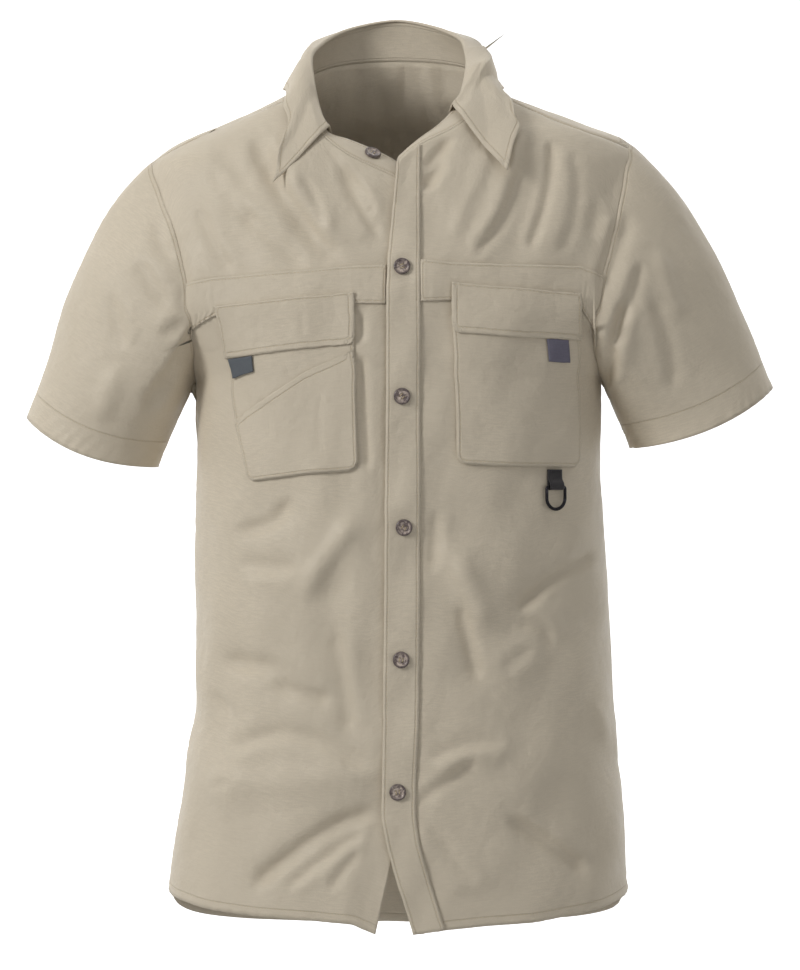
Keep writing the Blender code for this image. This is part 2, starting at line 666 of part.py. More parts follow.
def sleeve(side, spots):
    """A sleeve from the armhole's own points to the cuff; the seam's normals are shared with the panels."""
    sign = -1 if side == "right" else 1
    x, z, half_width, half_depth, hang = CUFFS[side]
    tilt = math.radians(abs(CUFF_TILT[side]))
    inwards = np.array([-sign * math.cos(tilt), 0, -math.sin(tilt)])
    down = np.array([sign * math.sin(tilt), 0, -math.cos(tilt)])
    start = np.array([s.p[j, i] for s, j, i in spots])
    panel_normal = np.array([s.n[j, i] for s, j, i in spots])
    length = np.linalg.norm(np.diff(start, axis=0, append=start[:1]), axis=1)
    far = np.concatenate([[0], np.cumsum(length)])
    ridge = int(np.argmax(start[:, 2]))
    turn = np.interp(far[:-1], [0, far[ridge], far[-1]], [0, math.pi, 2 * math.pi])
    centre = np.array([x, 0, z], float)
    ends = (centre + inwards * half_width * np.cos(turn)[:, None]
            + np.array([0, -1, 0]) * half_depth * np.sin(turn)[:, None]
            + down * hang * (np.sin(turn) ** 2)[:, None])
    outside = ((1 - np.cos(turn)) / 2)[:, None]
    leave = unit(down * (1 - 0.3 * outside) + np.array([sign, 0, 0]) * (0.12 + 0.45 * outside)
                 + np.array([0, -1, 0]) * 0.22 * np.sin(turn)[:, None])
    reach = np.linalg.norm(ends - start, axis=1, keepdims=True)
    handle_a = start + leave * reach * 0.34
    handle_b = ends - down * reach * 0.34
    rings = []
    for k in range(SLEEVE_CELLS + 1):
        s = (k / SLEEVE_CELLS) ** 1.15
        rings.append(start * (1 - s) ** 3 + 3 * handle_a * s * (1 - s) ** 2 + 3 * handle_b * s * s * (1 - s) + ends * s ** 3)
    p = np.array(rings)
    around = np.roll(p, -1, 1) - np.roll(p, 1, 1)
    along = np.gradient(p, axis=0)
    n = unit(np.cross(along, around)) * sign
    likeness = np.sum(n[0] * panel_normal, -1, keepdims=True)
    shared = soft_step((likeness + 0.3) / 0.8)
    panel_edge = unit(panel_normal + shared * n[0])
    n[0] = unit(n[0] + shared * panel_normal)
    p[0] += panel_normal * (1 - shared) * (CLOTH + 2 * SEAM_GAP)
    for normal, (s, j, i) in zip(panel_edge, spots):
        s.n[j, i] = normal
    sheet = Sheet(p, n, ring=True)
    if side == "left":
        sheet = Sheet(p[:, ::-1], n[:, ::-1], ring=True)
    return Sheet(sheet.p[::-1], sheet.n[::-1], ring=True)


def neck_edge(fronts, yoke):
    """References to the grid points round the neck, from the wearer's right front to the left front."""
    last = column_index(3)
    right, left = fronts["right"], fronts["left"]
    top = right.p.shape[0] - 1
    width = right.p.shape[1] - 1
    spots = [(right, top, width - i) for i in range(last)]
    spots += [(yoke, yoke.p.shape[0] - 1, i) for i in range(yoke.p.shape[1])]
    spots += [(left, top, i) for i in range(last - 1, -1, -1)]
    return spots


def collar_stand(spots):
    """The upright band of the collar, from the neck edge to the fold."""
    base = np.array([s.p[j, i] for s, j, i in spots])
    panel_normal = np.array([s.n[j, i] for s, j, i in spots])
    table = np.array(STAND_TOP, float)
    place = np.arange(len(base))
    top = np.stack([smooth(table[:, 0], table[:, k], place) for k in (1, 2, 3)], -1)
    middle = (base + top) / 2
    p = np.array([base, middle, top])
    n = unit(np.cross(np.gradient(p, axis=0), np.gradient(p, axis=1)))
    middle_out = unit(n[1])
    p[1] += middle_out * 1.5
    n[0] = unit(n[0] + panel_normal)
    for normal, (s, j, i) in zip(n[0], spots):
        s.n[j, i] = normal
    return Sheet(p, n)


def collar_leaf(stand):
    """The falling leaf, from just outside the stand's fold line out to its edge above the shoulders."""
    places = np.arange(LEAF_FIRST, LEAF_LAST + 1)
    fold = stand.p[-1, places] + stand.n[-1, places] * LAYER
    table = np.array(LEAF_EDGE, float)
    angle, z, off = [smooth(table[:, 0], table[:, k], places) for k in (1, 2, 3)]
    angle = np.radians(angle)
    edge = surface(angle, z) + surface_normal(angle, z) * off[:, None]
    out = unit((stand.n[-1, places] + surface_normal(angle, z)) * [1, 1, 0.3])
    rows = []
    for share, swell in ((0, 0), (0.1, 2.2), (0.28, 3.8), (0.6, 3.0), (1, 0)):
        row = fold * (1 - share) + edge * share + out * swell
        rows.append(row if share == 0 else clear_of_form(row, LEAF_CLEAR))
    p = np.array(rows[::-1])
    n = unit(np.cross(np.gradient(p, axis=0), np.gradient(p, axis=1)))
    return Sheet(p, n)


def button(group, name, point, normal, mat, radius=BUTTON_RADIUS):
    """A turned button with a raised rim, its back towards the cloth."""
    profile = ((0.0, BUTTON_THICKNESS * 0.62), (radius * 0.55, BUTTON_THICKNESS * 0.62),
               (radius * 0.7, BUTTON_THICKNESS), (radius * 0.9, BUTTON_THICKNESS),
               (radius, BUTTON_THICKNESS * 0.6), (radius * 0.93, 0.0), (0.0, 0.0))
    mesh = bpy.data.meshes.new(name)
    mesh.from_pydata([(r * MM, 0, h * MM) for r, h in profile], [(k, k + 1) for k in range(len(profile) - 1)], [])
    obj = bpy.data.objects.new(name, mesh)
    group.objects.link(obj)
    mesh.materials.append(mat)
    screw = obj.modifiers.new("turn", "SCREW")
    screw.steps = screw.render_steps = 18
    screw.use_merge_vertices = True
    screw.merge_threshold = 0.00002
    screw.use_smooth_shade = True
    obj.location = Vector(point * MM)
    obj.rotation_euler = Vector(normal).to_track_quat("Z", "Y").to_euler()
    return obj


def ring_place(front):
    """Where the D-ring's bar lies: its centre, its direction along the cloth and the way out."""
    z = -365.0
    angle = float(angle_at(np.array(137.0), np.array(z)))
    point = ring_point(np.array(angle), np.array(z))
    near = ring_point(np.array(angle - 0.05), np.array(z))
    along = unit((point - near) * [1, 1, 0])
    out = unit(np.cross(along, [0, 0, 1.0]))
    clear = CLOTH / 2 + 0.6 + WEBBING + 0.35 + RING_WIRE_RADIUS
    return point + out * clear, along, out


def webbing_loop(group, front, mat):
    """A strip of webbing doubled round the ring's bar, sewn below the pocket."""
    centre, along, out = ring_place(front)
    hole = RING_WIRE_RADIUS + 0.35
    outer = hole + WEBBING
    curve = bpy.data.curves.new("ring_loop", "CURVE")
    curve.dimensions = "2D"
    curve.fill_mode = "BOTH"
    curve.extrude = LOOP_WIDTH / 2 * MM
    steps = 12
    top = LOOP_HEIGHT - outer
    round_end = [(outer * math.cos(a), outer * math.sin(a)) for a in
                 (math.pi + math.pi * k / steps for k in range(steps + 1))]
    outline = round_end + [(outer, 2.0), (0.2, 6.5), (0.2, top), (-outer, top)]
    circle = [(hole * math.cos(a), hole * math.sin(a)) for a in (2 * math.pi * k / 16 for k in range(16))]
    for points in (outline, circle):
        spline = curve.splines.new("POLY")
        spline.points.add(len(points) - 1)
        for slot, (depth, height) in zip(spline.points, points):
            slot.co = (depth * MM, height * MM, 0, 1)
        spline.use_cyclic_u = True
    guide = bpy.data.objects.new("ring_loop", curve)
    group.objects.link(guide)
    turn = Matrix((Vector(out), Vector((0, 0, 1)), Vector(np.cross(out, [0, 0, 1])))).transposed().to_4x4()
    guide.matrix_world = Matrix.Translation(Vector(centre * MM)) @ turn
    bpy.context.view_layer.update()
    mesh = bpy.data.meshes.new_from_object(guide.evaluated_get(bpy.context.evaluated_depsgraph_get()))
    place = guide.matrix_world.copy()
    bpy.data.objects.remove(guide)
    cloth = bmesh.new()
    cloth.from_mesh(mesh)
    bmesh.ops.remove_doubles(cloth, verts=cloth.verts, dist=1e-6)
    bmesh.ops.recalc_face_normals(cloth, faces=cloth.faces)
    cloth.to_mesh(mesh)
    cloth.free()
    obj = bpy.data.objects.new("ring_loop", mesh)
    group.objects.link(obj)
    mesh.materials.clear()
    mesh.materials.append(mat)
    obj.matrix_world = place
    return obj


def d_ring(group, front, mat):
    """The metal D: a straight bar through the webbing and a round bow that hangs from it."""
    centre, along, out = ring_place(front)
    half = RING_BAR_LENGTH / 2
    corner = 2.2
    bow = half
    points = [(-half + corner, 0), (0, 0), (half - corner, 0)]
    points += [(half - corner + corner * math.sin(a), -corner + corner * math.cos(a)) for a in
               (math.pi / 2 * k / 3 for k in range(1, 4))]
    low = RING_DROP - bow
    points += [(bow * math.cos(a), -low - bow * math.sin(a)) for a in (math.pi * k / 12 for k in range(13))]
    points += [(-half + corner - corner * math.sin(a), -corner + corner * math.cos(a)) for a in
               (math.pi / 2 * k / 3 for k in range(3, 0, -1))]
    curve = bpy.data.curves.new("d_ring", "CURVE")
    curve.dimensions = "3D"
    curve.bevel_depth = RING_WIRE_RADIUS * MM
    curve.bevel_resolution = 2
    spline = curve.splines.new("POLY")
    spline.points.add(len(points) - 1)
    for slot, (side, height) in zip(spline.points, points):
        slot.co = (side * MM, height * MM, 0, 1)
    spline.use_cyclic_u = True
    obj = bpy.data.objects.new("d_ring", curve)
    group.objects.link(obj)
    curve.materials.append(mat)
    turn = Matrix((Vector(along), Vector((0, 0, 1)), Vector(out))).transposed().to_4x4()
    obj.matrix_world = Matrix.Translation(Vector(centre * MM)) @ turn
    return obj


def swell(rows, columns, height):
    """How far a pocket's filled-out middle stands off, over its grid."""
    v = np.linspace(0, math.pi, rows)[:, None]
    u = np.linspace(0, math.pi, columns)[None, :]
    return height * np.sin(v) * np.sin(u)


def pieces_on_front(group, side, front, mats):
    """Band, pockets, flap and tab of one front."""
    columns = front.p.shape[1] - 1

    def column(number):
        return columns - column_index(number) if side == "right" else column_index(number)

    def lines(first, last):
        step = 1 if last > first else -1
        return list(range(first, last + step, step))

    row = {name: row_index(side, name) for name in [r[0] for r in FRONT_ROWS[side]]}
    inner, outer = sorted((column(2), column(4)))
    across = lines(inner, outer)
    whole = lines(*sorted((column(1), column(5))))
    band = front.patch(lines(row["band bottom"], row["band top"]), whole, LAYER)
    wall(group, f"band_{side}", band.drawn_in(0.3), mats["cloth"])
    up = lines(row["pocket bottom"], row["band bottom"])
    base = front.patch(up, across, LAYER + swell(len(up), len(across), 0.8))
    wall(group, f"pocket_{side}", base.drawn_in(), mats["cloth"])
    cover_rows = lines(row["pocket bottom"], row["opening"] if side == "right" else row["band bottom"])
    bulge = swell(len(up), len(across), 0.8)[:len(cover_rows)]
    cover = front.patch(cover_rows, across, 2 * LAYER + bulge)
    wall(group, f"pocket_{side}_cover", cover.drawn_in(1.2), mats["cloth"])
    level = 2 if side == "right" else 3
    flap_rows = lines(row["flap bottom"], row["flap top"])
    over = swell(len(up), len(across), 0.8)[row["flap bottom"] - up[0]:]
    over = np.concatenate([over, np.zeros((len(flap_rows) - len(over), len(across)))])
    flap = front.patch(flap_rows, across, level * LAYER + over)
    wall(group, f"flap_{side}", flap.drawn_in(0.1), mats["cloth"])
    first, last, hang = TABS[side]
    start, end = (inner, outer)
    cells = [first] + [k for k in range(math.ceil(first), math.ceil(last)) if k > first] + [last]
    places = sorted(end - c if side == "right" else start + c for c in cells)
    upper = row["flap bottom"]
    cell_height = np.linalg.norm(front.p[upper, start] - front.p[upper - 1, start])
    tall = hang / max(cell_height, 1.0)
    cell_height = np.linalg.norm(front.p[upper, int(places[0])] - front.p[upper - 1, int(places[0])])
    tall = hang / cell_height
    down = [upper - tall] + [k for k in range(math.ceil(upper - tall), upper)] + [upper - 0.02]
    level = 2 if side == "right" else 3
    tab = front.patch(down, places, level * LAYER + 0.7)
    wall(group, f"tab_{side}", tab, mats[f"tab_{side}"], thickness=1.0)


def find_on(front, x, z, lift):
    """Point and normal of a front, moved out, where it is seen at this x and height."""
    best = None
    rows, columns = front.p.shape[:2]
    for j in range(rows - 1):
        for i in range(columns - 1):
            for v in np.linspace(0, 1, 6):
                for u in np.linspace(0, 1, 6):
                    p, n = front.at(j + v, i + u)
                    miss = (p[0] - x) ** 2 + (p[2] - z) ** 2
                    if best is None or miss < best[0]:
                        best = (miss, p, n)
            if front.p[j, i, 2] > z + 60:
                break
    _, p, n = best
    return p + n * lift, n


def build():
    for obj in list(bpy.data.objects):
        bpy.data.objects.remove(obj, do_unlink=True)
    group = collection("short_sleeved_shirt")
    cloth = material("cloth", (223, 209, 183), 0.62)
    mats = {
        "cloth": cloth,
        "tab_right": material("tab grey", (104, 105, 100), 0.7),
        "tab_left": material("tab slate", (117, 111, 123), 0.7),
    }
    webbing = material("webbing", (38, 36, 38), 0.8)
    metal = material("ring metal", (34, 32, 36), 0.35, 0.6)
    horn = material("button", (128, 113, 110), 0.35)

    fronts = {side: front_panel(side) for side in ("right", "left")}
    back = back_panel(fronts)
    yoke = yoke_panel(fronts, back)
    sleeves = {side: sleeve(side, armhole_edge(side, fronts, yoke, back)) for side in ("right", "left")}
    stand = collar_stand(neck_edge(fronts, yoke))
    leaf = collar_leaf(stand)

    for side in ("right", "left"):
        wall(group, f"front_{side}", fronts[side].drawn_in(), cloth)
        wall(group, f"sleeve_{side}", sleeves[side].drawn_in(), cloth)
        pieces_on_front(group, side, fronts[side], mats)
    wall(group, "back", back.drawn_in(), cloth)
    wall(group, "yoke", yoke.drawn_in(), cloth)
    wall(group, "collar_stand", stand.drawn_in(), cloth)
    wall(group, "collar_leaf", leaf.drawn_in(), cloth)
    left = fronts["left"]
    placket_rows = list(range(left.p.shape[0]))
    placket = left.patch(placket_rows, [0, 1, 2], LAYER)
    wall(group, "placket", placket.drawn_in(0.3), cloth)

    seat = LAYER + CLOTH / 2 + BUTTON_SEAT
    for number, (x, z) in enumerate(PLACKET_BUTTONS, 1):
        point, normal = find_on(left, x, z, seat)
        button(group, f"button_{number}", point, normal, horn)
    point, normal = stand.at(1.0, 2.9)
    button(group, "button_collar", point + normal * (CLOTH / 2 + BUTTON_SEAT), normal, horn)
    webbing_loop(group, left, webbing)
    d_ring(group, left, metal)


build()
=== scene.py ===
"""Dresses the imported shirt: creased and puckered cloth, stitching, buttons, webbing and ring, on a plain stage.

Frame: +X is the wearer's left, the front faces -Y and +Z is up. Tables are in millimetres, MM turns them into
metres. The cloth is laid on the same form and from the same tables as the solids, on a finer grid.
"""

import functools
import json
import math

import bmesh
import bpy
import numpy as np
from bpy.props import FloatProperty, FloatVectorProperty, PointerProperty
from mathutils import Matrix, Vector

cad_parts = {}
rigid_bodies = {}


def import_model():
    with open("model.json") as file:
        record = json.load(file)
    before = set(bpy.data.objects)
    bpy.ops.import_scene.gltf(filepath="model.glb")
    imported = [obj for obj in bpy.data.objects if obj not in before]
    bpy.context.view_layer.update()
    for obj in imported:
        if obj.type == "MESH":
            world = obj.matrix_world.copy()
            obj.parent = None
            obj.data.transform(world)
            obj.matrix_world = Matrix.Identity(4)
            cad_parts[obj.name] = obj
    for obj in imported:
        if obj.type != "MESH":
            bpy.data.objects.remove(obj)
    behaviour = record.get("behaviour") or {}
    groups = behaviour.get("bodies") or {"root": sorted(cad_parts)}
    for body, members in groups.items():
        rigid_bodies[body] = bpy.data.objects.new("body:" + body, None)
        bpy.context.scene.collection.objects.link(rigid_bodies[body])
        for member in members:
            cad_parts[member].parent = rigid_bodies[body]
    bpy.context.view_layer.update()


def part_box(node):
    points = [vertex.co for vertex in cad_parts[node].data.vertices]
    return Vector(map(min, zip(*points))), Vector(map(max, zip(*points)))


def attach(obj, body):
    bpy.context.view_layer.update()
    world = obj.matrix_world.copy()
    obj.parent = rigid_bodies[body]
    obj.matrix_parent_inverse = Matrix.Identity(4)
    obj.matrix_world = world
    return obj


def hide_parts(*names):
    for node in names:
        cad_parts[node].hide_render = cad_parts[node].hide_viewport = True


bl_info = {
    "name": "Short-sleeved shirt",
    "version": (1, 0, 0),
    "blender": (4, 5, 0),
    "location": "View3D > Sidebar > Shirt",
    "description": "Dresses the frame of a short-sleeved shirt in cloth, stitching, buttons and webbing",
    "category": "Object",
}

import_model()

MM = 0.001

CLOTH = 1.2  # thickness of every cloth wall
SEAM_GAP = 0.3  # clear way between pieces that meet at a seam
LAYER = 1.7  # step from one cloth layer to the next that lies on it
ROUNDNESS = 2.25  # exponent of the rings: 2 is an ellipse, more is squarer

BUTTON_RADIUS = 8.0
BUTTON_THICKNESS = 2.6
BUTTON_SEAT = 0.45  # clear way between a button's back and the cloth

RING_WIRE_RADIUS = 1.5
RING_BAR_LENGTH = 20.0
RING_DROP = 20.0  # from the bar's axis to the bow's lowest axis point
LOOP_WIDTH = 15.0
LOOP_HEIGHT = 17.0
WEBBING = 1.0

# The form's rings: height, half widths at the wearer's right (-X) and left (+X), half depths in front and behind
RINGS = (
    # z, right, left, front, back
    (-800, 216, 211, 127, 121),
    (-734, 212, 208, 126, 120),
    (-672, 203, 206, 124, 118),
    (-616, 195, 200, 123, 115),
    (-561, 187, 196, 122, 112),
    (-515, 187, 194, 122, 110),
    (-432, 187, 189, 123, 108),
    (-350, 186, 184, 125, 110),
    (-270, 187, 184, 126, 113),
    (-250, 196, 194, 126, 114),
    (-224, 218, 215, 125, 115),
    (-200, 240, 236, 123, 115),
    (-160, 244, 241, 117, 114),
    (-134, 243, 240, 112, 112),
    (-100, 236, 232, 104, 108),
    (-71, 230, 226, 93, 98),
    (-58, 213, 218, 86, 94),
    (-48, 194, 207, 80, 90),
    (-35, 165, 170, 73, 84),
    (-26, 147, 146, 68, 79),
    (-17, 128, 122, 63, 75),
    (0, 98, 88, 56, 70),
    (15, 90, 84, 51, 67),
    (40, 84, 78, 46, 65),
)

# Columns of each front at a few heights, as distances from the centre line towards its own side
FRONT_COLUMNS = {
    "right": (
        # z, edge, facing, pocket inner, neck point, pocket outer
        (-770, 24, 49, 90, 134, 168),
        (-687, 5, 28, 70, 112, 163),
        (-640, -8, 15, 58, 102, 158),
        (-600, -17, 12, 50, 96, 153),
        (-480, -17, 12, 42, 87, 143),
        (-360, -17, 12, 36, 80, 136),
        (-300, -17, 12, 38, 83, 148),
        (-235, -17, 12, 40, 84, 158),
        (-198, -17, 12, 40, 84, 166),
        (-90, -17, 12, 39, 88, 170),
    ),
    "left": (
        (-770, 14, 43, 80, 122, 168),
        (-646, -16, 14, 58, 104, 166),
        (-560, -15, 17, 52, 96, 164),
        (-350, -13, 18, 50, 92, 160),
        (-235, -12, 18, 47, 88, 160),
        (-198, -12, 18, 45, 86, 160),
        (-75, -3, 18, 46, 80, 162),
    ),
}

# Rows of each front: heights at the same columns and at the side, from the hem up, and the cells up to the next row
FRONT_ROWS = {
    "right": (
        # name, cells, edge, facing, pocket inner, neck point, pocket outer, side
        ("hem", 6, -761, -752, -749, -747, -744, -733),
        ("vent", 7, -560, -560, -560, -560, -560, -560),
        ("pocket bottom", 3, -352, -350, -351, -354, -361, -372),
        ("opening", 2, -290, -275, -243, -262, -304, -268),
        ("flap bottom", 2, -240, -240, -239, -242, -250, -253),
        ("band bottom", 1, -204, -203, -203, -206, -212, -224),
        ("flap top", 1, -195, -194, -193, -197, -204, -210),
        ("band top", 6, -168, -168, -169, -173, -178, -183),
    ),
    "left": (
        ("hem", 6, -761, -757, -754, -752, -746, -733),
        ("vent", 7, -598, -598, -598, -598, -598, -598),
        ("pocket bottom", 3, -346, -346, -345, -347, -348, -372),
        ("opening", 2, -285, -285, -285, -285, -285, -268),
        ("flap bottom", 2, -230, -230, -229, -231, -233, -253),
        ("band bottom", 1, -201, -201, -200, -203, -206, -224),
        ("flap top", 1, -190, -190, -184, -188, -193, -208),
        ("band top", 6, -164, -164, -166, -167, -168, -176),
    ),
}
COLUMN_CELLS = (2, 2, 3, 5, 4)  # cells between the columns above, the last up to the side
NECK_SHARES = (0.6, 0.88)  # places of the two columns between pocket inner and neck point on the neckline
ARMPIT_EASE = 1.6  # how the lowest rows of the armhole crowd towards the armpit

# Neckline, then shoulder seam: distance from the centre line and height
FRONT_TOP = {
    "right": ((-17, -95), (-3, -90), (12, -84), (39, -72), (56, -62), (70, -48), (81, -30), (88, -8),
              (106, -15), (150, -33), (191, -50), (226, -72)),
    "left": ((-3, -76), (8, -66), (18, -59), (32, -51), (46, -44), (62, -33), (74, -19), (80, -5),
             (98, -13), (140, -33), (180, -48), (207, -57)),
}

# Armhole edge: height, and distance from the centre line in front and behind
ARMHOLE = {
    "right": (
        # z, front, back
        (-268, 187, 187),
        (-258, 188, 190),
        (-244, 186, 191),
        (-224, 187, 194),
        (-201, 188, 197),
        (-178, 192, 201),
        (-155, 197, 206),
        (-134, 203, 211),
        (-100, 217, 221),
        (-72, 226, 226),
    ),
    "left": (
        (-268, 184, 184),
        (-258, 180, 186),
        (-244, 175, 187),
        (-224, 173, 188),
        (-201, 175, 190),
        (-178, 181, 194),
        (-155, 187, 199),
        (-134, 192, 204),
        (-100, 200, 211),
        (-57, 207, 207),
    ),
}

# Neck edge of the yoke: angle round the form from the front, and height
YOKE_NECK = ((54, -7), (75, 0), (90, 6), (110, 15), (140, 28), (165, 33), (180, 34))
YOKE_CELLS_SIDE = 3
YOKE_CELLS_BACK = 18
YOKE_BACK_CENTRE = -92  # height of the seam between yoke and back
YOKE_BACK_CORNER = -100
BACK_CELLS_ARMHOLE = 6
BACK_HEM_SIDE = -740
BACK_HEM_CENTRE = -780
VENT_SPREAD = 9  # degrees that the back's free edge lies behind the front's at the hem

# Cuffs: centre, half width, half depth, and how far front and back hang below the ends
CUFFS = {
    # x, z, half width, half depth, hang
    "right": (-283, -324, 64, 57, 13),
    "left": (276.5, -302, 72, 58, 12),
}
CUFF_TILT = {"right": 20.7, "left": -22.8}  # degrees that the cuff's line dips towards the body
SLEEVE_CELLS = 9

# Top line of the collar stand, where the leaf folds over: place along the neck edge, and position
STAND_TOP = (
    # place, x, y, z
    (0, 8, -79, -80),
    (2, -14, -77, -67),
    (4, -46, -74, -53),
    (5, -63, -64, -46.5),
    (6, -73, -52, -26),
    (7, -79, -40, 0),
    (10, -82, -14, 27),
    (13, -72, 19, 45),
    (16, -43, 53, 63),
    (19, -3, 65, 71),
    (22, 34, 52, 63),
    (25, 59, 22, 46),
    (28, 62, -6, 26),
    (31, 61, -20, 15),
    (32, 57, -38, -6),
    (33, 46, -51, -26),
    (34, 36, -59, -37),
    (36, 15, -73, -54),
    (38, 2, -76, -66),
)
LEAF_FIRST, LEAF_LAST = 5, 33  # places where the leaf starts and ends
LEAF_CLEAR = 4.0  # least distance of the leaf from the form
# Outer edge of the leaf: place, angle round the form, height there, and how far it stands off the form
LEAF_EDGE = (
    # place, angle, z, stand-off
    (5, -26, -97, 10),
    (6, -25, -72, 9),
    (7, -30, -44, 8),
    (8, -43, -25, 7),
    (9, -58, -12, 6),
    (10, -76, -6, 6),
    (12, -100, -4, 6),
    (14, -120, 3, 6),
    (16, -145, 15, 7),
    (19, -180, 27, 8),
    (22, -215, 15, 7),
    (24, -240, 4, 6),
    (26, -260, -3, 6),
    (28, -284, -5, 6),
    (29, -299, -10, 6),
    (30, -314, -21, 7),
    (31, -329, -41, 8),
    (32, -336, -66, 9),
    (33, -338.5, -88, 10),
)

# Folds of the fronts and the back: ends, half width and height of each soft ridge (+) or trough (-)
FRONT_FOLDS = (
    # x1, z1, x2, z2, half width, height
    (-132, -44, -60, -168, 12, -3.5),
    (-100, -90, -56, -168, 10, 3.0),
    (-54, -84, -20, -150, 10, -3.0),
    (112, -48, 68, -160, 13, 3.5),
    (136, -52, 104, -156, 12, -3.0),
    (44, -52, 24, -100, 9, -3.0),
    (-40, -392, -86, -462, 15, 4.5),
    (-146, -404, -98, -382, 13, -3.5),
    (-60, -486, -46, -585, 14, -3.5),
    (-158, -518, -58, -556, 14, -4.0),
    (-20, -652, -132, -722, 14, -4.5),
    (-172, -634, -24, -618, 16, 4.0),
    (46, -418, 78, -488, 14, 5.0),
    (100, -478, 178, -428, 13, -4.5),
    (84, -528, 122, -502, 13, 3.5),
    (54, -468, 70, -540, 12, -3.0),
    (22, -608, 98, -594, 14, 3.5),
    (94, -658, 168, -710, 14, -4.0),
    (30, -664, 70, -718, 13, 4.0),
)
BACK_FOLDS = (
    (-120, -150, -70, -300, 22, -4.5),
    (118, -140, 76, -290, 22, -4.5),
    (-100, -360, 40, -420, 24, 4.5),
    (130, -380, 20, -470, 22, -4.0),
    (-140, -500, -20, -560, 24, -4.5),
    (140, -560, 30, -640, 24, 4.5),
    (-90, -620, -70, -740, 22, 4.0),
    (60, -680, 90, -770, 20, -3.5),
)

# Buttons down the placket, as seen from the front
PLACKET_BUTTONS = ((1.8, -170), (1.8, -285), (3.5, -401), (1.0, -518), (-2.0, -635))
# Tabs at the flaps' lower edges: cells from the pocket's inner edge, and hang below the flap
TABS = {"right": (6.15, 7.75, 17), "left": (5.85, 7.15, 16)}

SIDES = ("right", "left")
EDGES = ("bottom", "top", "first", "last")
# Fine cells in each coarse one: up the panels, across the fronts, across the back, up the sleeves
UP, ACROSS, BACK_ACROSS, SLEEVE_UP = 8, 6, 7, 7
YOKE_ROWS = 9
STAND_ROWS = 14
LEAF_ROWS = 30

# Stitch lines that run beside an edge, and how far inside it
STITCH_LINES = (
    # piece, edge, inset
    ("front_right", "bottom", 8.0),
    ("front_left", "bottom", 8.0),
    ("back", "bottom", 8.0),
    ("yoke", "bottom", 4.0),
    ("yoke", "bottom", 9.0),
    ("yoke", "first", 3.5),
    ("yoke", "first", 8.5),
    ("yoke", "last", 3.5),
    ("yoke", "last", 8.5),
    ("sleeve_right", "bottom", 25.0),
    ("sleeve_left", "bottom", 25.0),
    ("sleeve_right", "top", 4.0),
    ("sleeve_left", "top", 4.0),
    ("collar_stand", "bottom", 3.0),
    ("collar_stand", "top", 4.0),
    ("collar_leaf", "bottom", 6.0),
    ("collar_leaf", "first", 6.0),
    ("collar_leaf", "last", 6.0),
    ("placket", "first", 3.0),
    ("placket", "last", 3.0),
    ("band_right", "top", 2.5),
    ("band_right", "bottom", 2.5),
    ("band_right", "last", 2.5),
    ("band_left", "top", 2.5),
    ("band_left", "bottom", 2.5),
    ("band_left", "first", 2.5),
    ("pocket_right", "first", 2.5),
    ("pocket_right", "last", 2.5),
    ("pocket_right", "bottom", 2.5),
    ("pocket_right_cover", "top", 6.0),
    ("pocket_right_cover", "first", 2.5),
    ("pocket_right_cover", "last", 2.5),
    ("pocket_right_cover", "bottom", 2.5),
    ("pocket_left_cover", "first", 2.5),
    ("pocket_left_cover", "last", 2.5),
    ("pocket_left_cover", "bottom", 2.5),
    ("flap_right", "top", 2.0),
    ("flap_right", "bottom", 5.0),
    ("flap_right", "first", 2.5),
    ("flap_right", "last", 5.0),
    ("flap_left", "top", 2.0),
    ("flap_left", "bottom", 5.0),
    ("flap_left", "first", 5.0),
    ("flap_left", "last", 2.5),
)

CAMERA = (0.0, -3.2, -0.3634)
LENS = 129.1
FLOOR = -1.3
LIGHTS = (
    # name, place, size, power
    ("key", (-2.6, -1.9, 1.1), (0.9, 1.2), 60.0),
    ("fill", (2.4, -2.6, -0.2), (1.6, 2.2), 10.0),
    ("top", (0.3, -0.6, 2.2), (1.8, 1.4), 9.0),
)

